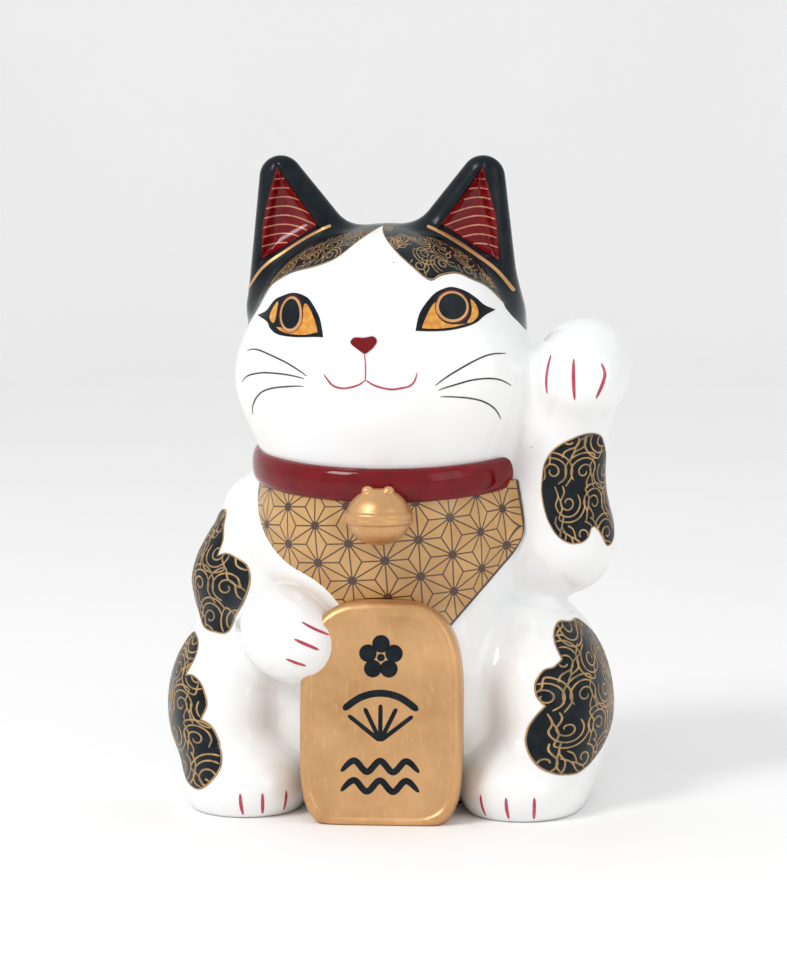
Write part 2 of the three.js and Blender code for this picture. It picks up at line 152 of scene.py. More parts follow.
def skin(form, low, high, cell):
    """The surface of a form inside a box, as vertices in mm and quads that join the cells it crosses."""
    low = np.array(low, float)
    count = np.ceil((np.array(high) - low) / cell).astype(int) + 1
    ticks = [low[k] + cell * np.arange(count[k]) for k in range(3)]
    slices = [np.stack(np.meshgrid([x], *ticks[1:], indexing="ij"), -1) for x in ticks[0]]
    value = np.stack([form(across)[0] for across in slices])
    inside = value < 0
    near = [slice(0, -1), slice(1, None)]
    corners = [(i, j, k) for i in (0, 1) for j in (0, 1) for k in (0, 1)]
    filled = sum(inside[near[i], near[j], near[k]].astype(int) for i, j, k in corners)
    crossed = (filled > 0) & (filled < 8)
    cells = np.argwhere(crossed)
    number = np.full(crossed.shape, -1)
    number[crossed] = np.arange(len(cells))
    total = np.zeros((len(cells), 3))
    hits = np.zeros(len(cells))
    for corner in corners:
        for axis in range(3):
            if corner[axis]:
                continue
            other = np.array(corner)
            other[axis] = 1
            a = value[tuple((cells + corner).T)]
            b = value[tuple((cells + other).T)]
            cut = (a < 0) != (b < 0)
            point = np.tile(np.array(corner, float), (len(cells), 1))
            point[:, axis] += np.where(cut, a / np.where(cut, a - b, 1), 0)
            total += point * cut[:, None]
            hits += cut
    points = low + cell * (cells + total / hits[:, None])
    quads = []
    for axis in range(3):
        u, v = (axis + 1) % 3, (axis + 2) % 3
        ends = [[slice(None)] * 3, [slice(None)] * 3]
        ends[0][axis], ends[1][axis] = near
        first, second = inside[tuple(ends[0])], inside[tuple(ends[1])]
        edges = np.argwhere(first != second)
        room = (edges[:, u] > 0) & (edges[:, v] > 0)
        edges = edges[room & (edges[:, u] < count[u] - 1) & (edges[:, v] < count[v] - 1)]
        ring = []
        for back_u, back_v in ((0, 0), (1, 0), (1, 1), (0, 1)):
            moved = edges.copy()
            moved[:, u] -= back_u
            moved[:, v] -= back_v
            ring.append(number[tuple(moved.T)])
        ring = np.stack(ring, -1)
        turned = second[tuple(edges.T)]
        ring[turned] = ring[turned][:, ::-1]
        quads.append(ring)
    for _ in range(3):
        slope = slope_of(form, points)
        step = -form(points)[:, None] * slope / np.maximum((slope**2).sum(-1, keepdims=True), 1e-6)
        length = np.linalg.norm(step, axis=1, keepdims=True)
        points = points + step * np.minimum(1, 0.6 * cell / np.maximum(length, 1e-9))
    return points, np.concatenate(quads)


def slope_of(form, points, step=0.05):
    sides = [form(points + step * axis) - form(points - step * axis) for axis in np.eye(3)]
    return np.stack(sides, -1) / (2 * step)


def unit(vectors):
    return vectors / np.linalg.norm(vectors, axis=1, keepdims=True)


def piece(name, points, faces, material, normals=None):
    """A mesh object from points in mm, riding on the cat."""
    mesh = bpy.data.meshes.new(name)
    places = np.asarray(points) * MM + BODY_MIDDLE
    mesh.from_pydata(places.tolist(), [], [list(map(int, face)) for face in faces])
    mesh.shade_smooth()
    if normals is not None:
        mesh.normals_split_custom_set_from_vertices(normals.tolist())
    mesh.materials.append(material)
    made = bpy.data.objects.new(name, mesh)
    bpy.context.scene.collection.objects.link(made)
    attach(made, "cat")
    return made


def casting(name, form, low, high, cell, material, shade=None):
    """A casting's own piece. Where it lies on the shade form, it takes that form's normals."""
    points, quads = skin(form, low, high, cell)
    normals = slope_of(form, points)
    if shade is not None:
        share = np.clip(1.5 - np.abs(shade(points)) / 0.1, 0, 1)[:, None]
        normals = normals * (1 - share) + slope_of(shade, points) * share
    return piece(name, points, quads, material, unit(normals))


class Finish:
    """A material made of shader nodes, with its Principled shader at hand."""

    def __init__(self, name, **sockets):
        self.material = bpy.data.materials.new(name)
        self.material.use_nodes = True
        self.tree = self.material.node_tree
        self.shader = self.tree.nodes["Principled BSDF"]
        for socket, value in sockets.items():
            self.shader.inputs[socket.replace("_", " ")].default_value = value
        self.place = self.node("ShaderNodeTexCoord").outputs["Object"]

    def node(self, kind, inputs=(), **settings):
        made = self.tree.nodes.new(kind)
        for key, value in settings.items():
            setattr(made, key, value)
        for key, value in dict(inputs).items():
            if isinstance(value, bpy.types.NodeSocket):
                self.tree.links.new(value, made.inputs[key])
            else:
                made.inputs[key].default_value = value
        return made

    def noise(self, size, detail=2, rough=0.5):
        """Cloudy noise whose lumps are about the given size in mm."""
        inputs = {"Vector": self.place, "Scale": 1 / (size * MM), "Detail": detail, "Roughness": rough}
        return self.node("ShaderNodeTexNoise", inputs).outputs["Fac"]

    def ramp(self, fac, *stops):
        made = self.node("ShaderNodeValToRGB", {"Fac": fac})
        while len(made.color_ramp.elements) < len(stops):
            made.color_ramp.elements.new(0.5)
        for element, (position, color) in zip(made.color_ramp.elements, stops):
            element.position = position
            element.color = color if len(color) == 4 else (*color, 1)
        return made.outputs["Color"]

    def mix(self, fac, a, b, blend_type="MIX"):
        made = self.node("ShaderNodeMix", {0: fac, 6: a, 7: b}, data_type="RGBA", blend_type=blend_type)
        return made.outputs[2]

    def bump(self, height, depth, normal=None):
        """Bump whose full height is the given depth in mm."""
        inputs = {"Height": height, "Distance": depth * MM, "Strength": 1}
        if normal is not None:
            inputs["Normal"] = normal
        made = self.node("ShaderNodeBump", inputs)
        self.tree.links.new(made.outputs["Normal"], self.shader.inputs["Normal"])
        return made.outputs["Normal"]

    def color(self, output):
        self.tree.links.new(output, self.shader.inputs["Base Color"])

    def roughness(self, output):
        self.tree.links.new(output, self.shader.inputs["Roughness"])

    def gloss(self, size, low, high):
        """Roughness that drifts between two values in patches of about the given size in mm."""
        self.roughness(self.ramp(self.noise(size, 2), (0.3, grey(low)), (0.7, grey(high))))


def grey(value):
    return (value, value, value)


def white_porcelain():
    glaze = Finish("white_porcelain", IOR=1.5, Coat_Weight=0.6, Coat_Roughness=0.03)
    cloud = glaze.noise(38, 3)
    tint = glaze.ramp(cloud, (0.35, (0.86, 0.87, 0.875)), (0.65, (0.905, 0.905, 0.895)))
    speck_inputs = {"Vector": glaze.place, "Scale": 1 / (9 * MM), "Randomness": 1}
    speck = glaze.node("ShaderNodeTexVoronoi", speck_inputs).outputs["Distance"]
    pinhole = glaze.ramp(speck, (0.0, grey(0.42)), (0.028, grey(0.42)), (0.04, grey(1)))
    rare = glaze.ramp(glaze.noise(21, 0), (0.6, grey(1)), (0.62, grey(0)))
    glaze.color(glaze.mix(rare, tint, glaze.mix(1.0, tint, pinhole, "MULTIPLY")))
    glaze.gloss(14, 0.1, 0.19)
    glaze.bump(glaze.noise(11, 1), 0.12)
    return glaze.material


WHITE = white_porcelain()


def upright(radius, x, y):
    return lambda p: np.hypot(p[..., 0] - x, p[..., 1] - y) - radius


def bar(low, high):
    middle, half = (np.array(high) + low) / 2, (np.array(high) - low) / 2

    def form(p):
        over = np.abs(p - middle) - half
        return np.linalg.norm(np.maximum(over, 0), axis=-1) + np.minimum(over.max(-1), 0)

    return form


def meet(*forms):
    return lambda p: np.maximum.reduce([form(p) for form in forms])


NECK_HOLE = 26
SLOT_Z = NECK_Z - 21
body_hollow = meet(grown(body_form, -WALL), lambda p: neck_height(p) + WALL)
neck_hole = meet(upright(NECK_HOLE, 0, NECK_MIDDLE[1]), lambda p: np.abs(p[..., 2] - NECK_Z) - 3 * WALL)
coin_slot = bar((-16, 20, SLOT_Z - 1.8), (16, 96, SLOT_Z + 1.8))
over_neck = lambda p: -neck_height(p) - JOINT_GAP
body_cast = carve(0.8, body_form, under_floor, over_neck, body_hollow, neck_hole, coin_slot)
body = casting("body_casting", body_cast, (-76, -66, -2), (76, 66, 114), 1.25, WHITE)
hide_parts("torso_shell")

# ---- Floor slab --------------------------------------
# A flat slab of the same porcelain closes the bottom. It is cut to fit inside the wall and set 3 mm up,
# so that the wall stands down round it as a foot ring, and a round hole for the stopper is cut out of it
# while soft.

BORE_RADIUS = 16
slab_sides = grown(body_form, -WALL + 0.6)
slab_block = bar((-90, -90, FOOT_RING), (90, 90, FOOT_RING + WALL))
slab_form = carve(1, meet(slab_sides, slab_block), upright(BORE_RADIUS, 0, BORE_Y))
slab = casting("floor_slab", slab_form, (-72, -62, 1), (72, 66, 10), 1.2, WHITE)
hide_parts("floor_slab")

# ---- Head casting ------------------------------------
# The round head is a second hollow casting, luted on at a sloping joint that the collar covers. It is
# turned a little towards the lowered paw. Full cheeks, a low brow and a small muzzle are modelled in the
# mould.

HEAD_TURN = math.radians(-5)
HEAD_MIDDLE = np.array([-1, -4, NECK_Z])
head_cos, head_sin = math.cos(HEAD_TURN), math.sin(HEAD_TURN)
HEAD_AXES = np.array([[head_cos, -head_sin, 0], [head_sin, head_cos, 0], [0, 0, 1]])


def on_head(form):
    return lambda p: form((p - HEAD_MIDDLE) @ HEAD_AXES)


skull = egg((0, 0, 36.5), (89, 80, 79))
jowl = egg((0, -4, 17.5), (83, 70, 52))
cheeks = [egg((side * 26, -15, 28.5), (40, 40, 40)) for side in (-1, 1)]
brow = egg((0, -20, 51.5), (66, 38, 32))
muzzle = egg((0, -32, 21.5), (34, 24, 24))
face = blend(9, blend(10, blend(14, skull, jowl), *cheeks, brow), muzzle)
head_form = blend(10, on_head(face), neck)
head_hollow = meet(grown(head_form, -WALL), lambda p: WALL - neck_height(p))
head_cast = carve(0.8, head_form, neck_height, head_hollow, neck_hole)
neck_cast = lambda p: np.minimum(body_form(p), head_form(p))

# ---- Forelegs ----------------------------------------
# Both forelegs are cast apart and luted to the sides of the chest. The seam is wiped smooth with slip, so
# that each one runs into the body in a soft hollow curve. The raised one is tied to the neck and the
# cheek by a web of clay, because a free one would break off.

raised_form = blend(
    9,
    limb((40, -2, 78), (55, -13, 82), 14.5, 14.5),
    limb((55, -13, 82), (55.5, -20, 120), 14.5, 12),
    blend(
        7,
        limb((55.5, -20, 120), (61.6, -24, 139), 12, 12),
        blend(6, egg((61.6, -24, 139), (28.4, 28, 26.8), (12, 0, 0)), egg((61.1, -32, 133), (25, 18, 20))),
    ),
    egg((46, -13, NECK_Z - 1), (20, 18, 60)),
)
LOWERED_PAW = np.array((-26, -51, 54.5))
LOWERED_ELBOW = np.array((-46, -14, 69))
from_paw = LOWERED_ELBOW - LOWERED_PAW
lowered_wrist = LOWERED_PAW + from_paw / np.linalg.norm(from_paw) * 13.5
lowered_form = blend(
    12,
    limb((-41, -2, NECK_Z - 18), LOWERED_ELBOW, 14.5, 14.5),
    limb(LOWERED_ELBOW, lowered_wrist, 14.5, 13),
    egg(LOWERED_PAW, (29, 26, 25), (0, 28, 30)),
)
WIPE = 7  # width of the wiped seam
LET_IN = 3  # how far a luted piece goes into its neighbour
raised_all = blend(WIPE, neck_cast, raised_form)
white_form = blend(WIPE, raised_all, lowered_form)


def luted(form, onto, wipe):
    """A form luted on to another one, with its wiped seam, let a little way into it."""
    joint = blend(wipe, grown(onto, 0.05), form)
    return meet(joint, grown(form, wipe - 0.4), lambda p: -onto(p) - LET_IN)


# The head's shading runs on over the seams of the forelegs, so its piece is made here with theirs.
head = casting("head_casting", head_cast, (-50, -50, 100), (48, 42, 188), 1.1, WHITE, white_form)
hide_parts("head_shell")
raised_box = ((26, -46, 56), (80, 26, 156))
raised_luted = luted(raised_form, neck_cast, WIPE)
raised = casting("raised_foreleg", raised_luted, *raised_box, 1, WHITE, white_form)
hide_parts("raised_foreleg")
lowered_box = ((-72, -70, 34), (-8, 24, 116))
lowered_luted = luted(lowered_form, neck_cast, WIPE)
lowered = casting("lowered_foreleg", lowered_luted, *lowered_box, 1, WHITE, white_form)
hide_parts("lowered_foreleg")

# ---- Ears --------------------------------------------
# Two solid ears with a shallow hollow in front, pressed in a mould and luted to the top of the head. They
# are painted glossy black outside, and dark red with pale arched stripes inside.


def brushed(name, size, dark, light, **sockets):
    """A brushed and fired colour that drifts from dark to light in patches of about the given size in mm."""
    paint = Finish(name, **sockets)
    paint.color(paint.ramp(paint.noise(size, 3, 0.6), dark, light))
    return paint


def black_overglaze():
    dark, light = (0.3, (0.0035, 0.006, 0.009)), (0.75, (0.011, 0.017, 0.022))
    paint = brushed("black_overglaze", 5, dark, light, Specular_IOR_Level=0.16)
    paint.gloss(9, 0.12, 0.24)
    paint.bump(paint.noise(6, 2), 0.08)
    return paint.material


BLACK = black_overglaze()
EAR_SHIFT = -2  # both ears sit a little towards the lowered paw
EAR_CORNERS = [(7.6, 60), (37, 50), (32.5, 90.5)]
HOLLOW_CORNERS = [(19, 74.5), (39, 63), (33, 94.5)]


def triangle(p_across, p_up, corners):
    """Distance outside a flat triangle whose corners run anticlockwise."""
    out = np.full(p_across.shape, -1e9)
    for (ax, ay), (bx, by) in zip(corners, corners[1:] + corners[:1]):
        length = math.hypot(bx - ax, by - ay)
        out = np.maximum(out, ((p_across - ax) * (by - ay) - (p_up - ay) * (bx - ax)) / length)
    return out


def ear_parts(side):
    """The ear and its hollow, as forms in the head's own frame."""

    def sizes(p):
        across = (p[..., 0] - EAR_SHIFT) * side
        up = p[..., 2]
        rise = np.clip((up - 60) / 35, -0.3, 1.1)
        return across, up, p[..., 1] + 1 + 2.2 * rise, 1 + 0.6 * rise

    def flap(p):
        across, up, behind, thin = sizes(p)
        edge = triangle(across, up, EAR_CORNERS)
        edge = np.where(edge > 0, ear_corners(across, up), edge) - 7
        return np.hypot(np.maximum(edge + 8, 0), thin * behind) - 8

    def hollow(p):
        across, up, behind, thin = sizes(p)
        edge = triangle(across, up, HOLLOW_CORNERS)
        return np.hypot(np.maximum(edge + 6, 0), 1.2 * (behind + 8 / thin + 0.4)) - 6

    return flap, hollow


def ear_corners(across, up):
    """Distance from the flap's triangle, rounded past its corners."""
    corners = [np.array(corner) for corner in EAR_CORNERS]
    q = np.stack([across, up], -1)
    nearest = np.full(across.shape, 1e9)
    for a, b in zip(corners, corners[1:] + corners[:1]):
        share = np.clip((q - a) @ (b - a) / ((b - a) @ (b - a)), 0, 1)
        nearest = np.minimum(nearest, np.linalg.norm(q - a - share[..., None] * (b - a), axis=-1))
    return nearest


EAR_FOOT_Z = 148
EAR_WIPE = 6
EAR_EDGE = 1.5


def over_ear_foot(p):
    return p[..., 2] - EAR_FOOT_Z


EARS = {
    "left_ear": (1, (0, -34, 146), (52, 24, 208)),
    "right_ear": (-1, (-58, -32, 146), (-2, 26, 208)),
}
for name, (side, low, high) in EARS.items():
    flap, hollow = ear_parts(side)
    flap_joined = luted(on_head(flap), head_form, EAR_WIPE)
    ear = casting(name, carve(EAR_EDGE, flap_joined, on_head(hollow), over_ear_foot), low, high, 0.6, BLACK)
    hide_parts(name)

# ---- Tail --------------------------------------------
# The tail is a solid roll of clay, curled up against the rump and luted along its whole length, in glossy
# black.

tail_bends = [np.array(bend) for bend in ((2, 57, 13), (21, 55, 17), (27, 53, 39), (15, 53, 57))]
tail_radii = (9.5, 9, 8.5, 8)
stretches = [limb(*tail_bends[i : i + 2], *tail_radii[i : i + 2]) for i in range(3)]
tail_form = carve(1, blend(7, *stretches), under_floor)
TAIL_WIPE = 5
tail = casting("tail", luted(tail_form, body_form, TAIL_WIPE), (-14, 34, -1), (44, 72, 72), 0.6, BLACK)
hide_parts("tail")

# ---- Coin plaque -------------------------------------
# The koban is a thick oval plaque with a raised rim round a shallow field. It is pressed in a mould, set
# in front of the belly, and painted in satin gold lustre that shows rubbed and scratched spots.

KOBAN_THICK = 15
KOBAN_HALF = 25
KOBAN_WIDEST = 35  # height of its widest place
KOBAN_RIM = 3.4
KOBAN_SUNK = 0.7
KOBAN_FRONT = -64
KOBAN_LEAN = math.radians(6)
KOBAN_FOOT = np.array((0.7, KOBAN_FRONT, 0))


def koban_place(p):
    """Points as across, behind the front face, and up the leaning plaque."""
    q = p - KOBAN_FOOT
    behind = q[..., 1] * math.cos(KOBAN_LEAN) - q[..., 2] * math.sin(KOBAN_LEAN)
    up = q[..., 1] * math.sin(KOBAN_LEAN) + q[..., 2] * math.cos(KOBAN_LEAN)
    return q[..., 0], behind, up


def koban_outline(across, up):
    """Distance outside an oval with full shoulders, upright sides and a foot with round corners."""
    upper = up > KOBAN_WIDEST
    over = up - KOBAN_WIDEST
    power = np.where(upper, 3.1, 5)
    tall = np.where(upper, 34, 36.5)
    share = (np.abs(across) / KOBAN_HALF) ** power + (np.abs(over) / tall) ** power
    share = np.maximum(share, 1e-6) ** (1 / power)
    reach = np.where(share > 0.2, np.hypot(across, over) / np.maximum(share, 0.2), KOBAN_HALF)
    return (share - 1) * reach


def koban_form(p):
    across, behind, up = koban_place(p)
    edge = koban_outline(across, up)
    side = -melt(4, -edge, np.abs(behind - KOBAN_THICK / 2) * -1 + KOBAN_THICK / 2)
    field = -melt(1.2, -(edge + KOBAN_RIM), KOBAN_SUNK - behind)
    return -melt(0.8, -side, field)


plaque_form = carve(0.8, koban_form, under_floor, grown(body_form, -3))


def gold_lustre():
    paint = Finish("gold_lustre", Metallic=0.72, IOR=1.5)
    worn = paint.noise(16, 4, 0.6)
    tint = paint.ramp(worn, (0.3, (0.54, 0.29, 0.12)), (0.7, (0.70, 0.41, 0.19)))
    drawn_out = paint.node("ShaderNodeMapping", {"Vector": paint.place, "Scale": (260, 260, 45)}).outputs[0]
    inputs = {"Vector": drawn_out, "Scale": 4.0, "Detail": 3.0}
    scratch = paint.node("ShaderNodeTexNoise", inputs).outputs["Fac"]
    rubbed = paint.ramp(scratch, (0.6, (0, 0, 0)), (0.72, grey(0.35)))
    paint.color(paint.mix(rubbed, tint, (0.78, 0.55, 0.33, 1)))
    paint.roughness(paint.ramp(worn, (0.3, grey(0.3)), (0.7, grey(0.46))))
    soft = paint.bump(paint.noise(1.1, 3), 0.03)
    paint.bump(paint.noise(9, 2), 0.25, soft)
    return paint.material


GOLD = gold_lustre()
plaque = casting("coin_plaque", plaque_form, (-28, -68, -1), (30, -36, 72), 0.7, GOLD)
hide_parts("coin_plaque")

# ---- Collar ------------------------------------------
# A round-faced band of clay, laid round the neck over the joint between body and head. It is in glossy
# dark red, and it ends where it meets the forelegs.


def red_overglaze():
    dark, light = (0.3, (0.13, 0.001, 0.003)), (0.72, (0.2, 0.002, 0.006))
    paint = brushed("red_overglaze", 7, dark, light, Specular_IOR_Level=0.3)
    paint.gloss(10, 0.07, 0.13)
    paint.bump(paint.noise(7, 2), 0.12)
    return paint.material


RED = red_overglaze()
COLLAR_RADIUS = 42
COLLAR_PROUD = 2.6
COLLAR_HALF_HEIGHT = 5.2


def collar_form(p):
    q = p - np.array((*NECK_MIDDLE, NECK_Z))
    out = np.hypot(q[..., 0], q[..., 1] * NECK_SQUASH)
    across = (out - COLLAR_RADIUS) / COLLAR_PROUD
    up = neck_height(p) / COLLAR_HALF_HEIGHT
    share = (np.abs(across) ** 2.3 + np.abs(up) ** 2.6) ** (1 / 2.4)
    return (share - 1) * COLLAR_PROUD


collar_cast = carve(0.8, collar_form, grown(raised_form, -3.2), grown(lowered_form, 0.2))
collar = casting("collar", collar_cast, (-50, -52, 96), (50, 46, 117), 0.75, RED)
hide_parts("collar")

# ---- Bib ---------------------------------------------
# The bib is a low relief on the chest, just proud of the glaze. A golden ground with a fine star-and-
# triangle line pattern is laid on it as a printed transfer, and its sides have a thin painted border.

BIB_SIDE = 44
BIB_CORNER_Z = 84
BIB_TIP_Z = 35
BIB_TAPER_Z = 86
BIB_TAPER = 0.17  # how far each side comes in for each mm above that height
BIB_ROUND = 6
BIB_PROUD = 0.9
BIB_LET_IN = 1.5


def bib_outline(p):
    z = p[..., 2]
    x = np.abs(p[..., 0]) + BIB_TAPER * np.maximum(z - BIB_TAPER_Z, 0)
    rise = BIB_CORNER_Z - BIB_TIP_Z
    slant = (rise * x - BIB_SIDE * (z - BIB_TIP_Z)) / math.hypot(BIB_SIDE, rise)
    return -melt(BIB_ROUND, BIB_SIDE - x, -slant)


bib_ground = blend(WIPE, neck_cast, raised_form)
bib_skin = meet(grown(bib_ground, BIB_PROUD), lambda p: -bib_ground(p) - BIB_LET_IN)
bib_form = meet(bib_skin, bib_outline, lambda p: neck_height(p) + 2, lambda p: p[..., 1] + 5)
bib_form = carve(0.5, bib_form, grown(raised_form, -1), grown(lowered_form, 0.6), koban_form)
BIB_CELL = 11.6  # from one star of the pattern to the next
BIB_TURN = math.radians(-4)
BIB_WRAP = 43.0  # radius at which the pattern is wrapped round the chest
BIB_STAR_Z = 79.5


def bib_transfer():
    """Golden ground, with lines from each point of a triangular lattice to its neighbours and middles."""
    transfer = Finish("bib_transfer", IOR=1.5, Coat_Weight=0.5, Coat_Roughness=0.08)

    def calc(operation, *values):
        made = transfer.node("ShaderNodeMath", dict(enumerate(values)), operation=operation)
        return made.outputs[0]

    def in_turned_axes(x, y, angle):
        """Both coordinates of a place, along axes that are turned by the angle."""
        c, s = math.cos(angle), math.sin(angle)
        first = calc("MULTIPLY_ADD", x, c, calc("MULTIPLY", y, s))
        return first, calc("MULTIPLY_ADD", x, -s, calc("MULTIPLY", y, c))

    split = transfer.node("ShaderNodeSeparateXYZ", {"Vector": transfer.place})
    across = calc("SUBTRACT", split.outputs["X"], float(BODY_MIDDLE[0]) + MM)
    forward = calc("SUBTRACT", float(BODY_MIDDLE[1]), split.outputs["Y"])
    wrap = calc("MULTIPLY", calc("ARCTAN2", across, forward), BIB_WRAP)
    up = calc("MULTIPLY", calc("SUBTRACT", split.outputs["Z"], BIB_STAR_Z * MM), 1 / MM)
    turned_x, turned_y = in_turned_axes(wrap, up, -BIB_TURN)

    # Three sets of lines run through the stars. Three more cross them and stop in the middle of a triangle.
    row = BIB_CELL * math.sqrt(3) / 2
    nearest, squares = None, None
    for step in range(3):
        angle = math.pi / 3 * step
        across_rows, along_rows = in_turned_axes(turned_x, turned_y, angle)
        off_row = calc("PINGPONG", across_rows, row / 2)
        off_post = calc("PINGPONG", along_rows, BIB_CELL / 4)
        row_number = calc("ROUND", calc("DIVIDE", across_rows, row))
        post_number = calc("ROUND", calc("DIVIDE", along_rows, BIB_CELL / 2))
        odd = calc("PINGPONG", calc("ADD", row_number, post_number), 1.0)
        hidden = calc("MULTIPLY", odd, calc("LESS_THAN", off_row, row / 3))
        off_post = calc("MULTIPLY_ADD", hidden, 9.0, off_post)
        line = calc("MINIMUM", off_row, off_post)
        nearest = line if nearest is None else calc("MINIMUM", nearest, line)
        square = calc("MULTIPLY", off_row, off_row)
        squares = square if squares is None else calc("ADD", squares, square)
    from_middle = calc("SUBTRACT", split.outputs["X"], float(BODY_MIDDLE[0]))
    side = calc("ABSOLUTE", calc("MULTIPLY", from_middle, 1 / MM))
    above = calc("MULTIPLY_ADD", split.outputs["Z"], 1 / MM, -float(BIB_TAPER_Z))
    side = calc("MULTIPLY_ADD", calc("MAXIMUM", above, 0.0), BIB_TAPER, side)
    rise, run = BIB_CORNER_Z - BIB_TIP_Z, BIB_SIDE
    length = math.hypot(rise, run)
    over_tip = calc("MULTIPLY_ADD", split.outputs["Z"], 1 / MM, -float(BIB_TIP_Z))
    slant = calc("SUBTRACT", calc("MULTIPLY", over_tip, run / length), calc("MULTIPLY", side, rise / length))
    border = calc("SMOOTH_MIN", calc("SUBTRACT", float(BIB_SIDE), side), slant, float(BIB_ROUND))
    star = calc("SUBTRACT", calc("SQRT", calc("MULTIPLY", squares, 2 / 3)), 1.15)
    nearest = calc("MINIMUM", nearest, star)
    nearest = calc("MINIMUM", nearest, calc("SUBTRACT", border, 0.55))
    inked = transfer.ramp(nearest, (0.0, grey(0)), (0.14, grey(0)), (0.3, grey(1)))
    ground = transfer.ramp(transfer.noise(12, 3), (0.3, (0.46, 0.24, 0.075)), (0.7, (0.60, 0.35, 0.125)))
    transfer.color(transfer.mix(inked, (0.06, 0.022, 0.01, 1), ground))
    transfer.gloss(10, 0.26, 0.4)
    transfer.bump(inked, -0.05)
    return transfer.material


BIB = bib_transfer()
bib = casting("bib", bib_form, (-48, -58, 33), (48, -6, 108), 0.7, BIB)
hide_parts("bib")

# ---- Bell --------------------------------------------
# A round clay bell sits under the collar, its skin a little uneven. It has a double band round its
# middle, a slot in its underside and two small nubs where it meets the collar, all in gold lustre.

BELL_MIDDLE = np.array((-0.3, -54, 94))


def bell_form(p):
    q = p - BELL_MIDDLE
    ball = egg((0, 0, 0), (20, 20, 17.4))(q)
    out = np.hypot(q[..., 0], q[..., 1])
    bands = [np.hypot(out - 9.9, (q[..., 2] - up) / 1.1) - 0.75 for up in (-0.9, 0.9)]
    nubs = [egg((side * 3.2, -2.2, 8.2), (3.6, 3.6, 2.8))(q) for side in (-1, 1)]
    for extra in bands + nubs:
        ball = melt(0.8, ball, extra)
    return ball


bell_slot = bar(BELL_MIDDLE + (-8, -11, -10), BELL_MIDDLE + (8, -3, -9))
bell_cast = carve(0.6, bell_form, bell_slot, grown(trunk, -1), grown(collar_form, -0.5))
bell = casting("bell", bell_cast, (-13, -67, 83), (13, -41, 106), 0.4, GOLD)
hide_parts("bell")

# ---- Head patches ------------------------------------
# The crown of the head is painted black between and round the ears, with a pointed white blaze over the
# brow. Gold lines in rolling clouds are drawn on the black with a fine brush, and the lot is fired on as
# a thin film.


def around(middle, axes=np.eye(3)):
    """Rays out of a middle point, by degrees round it from the front and degrees up."""

    def rays(spots):
        lon, lat = np.radians(spots).T
        way = np.stack([np.sin(lon) * np.cos(lat), -np.cos(lon) * np.cos(lat), np.sin(lat)], -1)
        return np.array(middle) + 0 * way, way @ np.array(axes).T

    return rays


def laid(form, rays, spots, lift, reach):
    """Where rays that come in from a reach away meet a form, at the given lift over it in mm."""
    start, way = rays(np.asarray(spots, float))
    far = np.full(len(start), float(reach))
    for _ in range(60):
        far -= 0.7 * (form(start + far[:, None] * way) - lift)
    return start + far[:, None] * way


def smooth(points, closed, step=0.6):
    """A smooth line through the points at about even steps. A point given twice is a sharp corner."""
    points = np.asarray(points, float)
    count = len(points)
    line = []
    for i in range(count if closed else count - 1):
        a, b = points[i], points[(i + 1) % count]
        if np.allclose(a, b):
            continue
        before = points[(i - 1) % count] if closed or i else a
        after = points[(i + 2) % count] if closed or i + 2 < count else b
        pull_a, pull_b = (b - before) / 2, (after - a) / 2
        parts = max(2, math.ceil(np.linalg.norm(b - a) / step))
        for t in np.arange(parts) / parts:
            ends = (2 * t**3 - 3 * t**2 + 1) * a + (3 * t**2 - 2 * t**3) * b
            line.append(ends + (t**3 - 2 * t**2 + t) * pull_a + (t**3 - t**2) * pull_b)
    if not closed:
        line.append(points[-1])
    return np.array(line)


def inside(spots, edge):
    """Which spots lie inside a closed line."""
    x, y = spots[:, 0, None], spots[:, 1, None]
    (ax, ay), (bx, by) = edge.T, np.roll(edge, -1, 0).T
    rise = np.where(by == ay, 1e-9, by - ay)
    crossed = ((ay > y) != (by > y)) & (x < (bx - ax) * (y - ay) / rise + ax)
    return crossed.sum(1) % 2 == 1


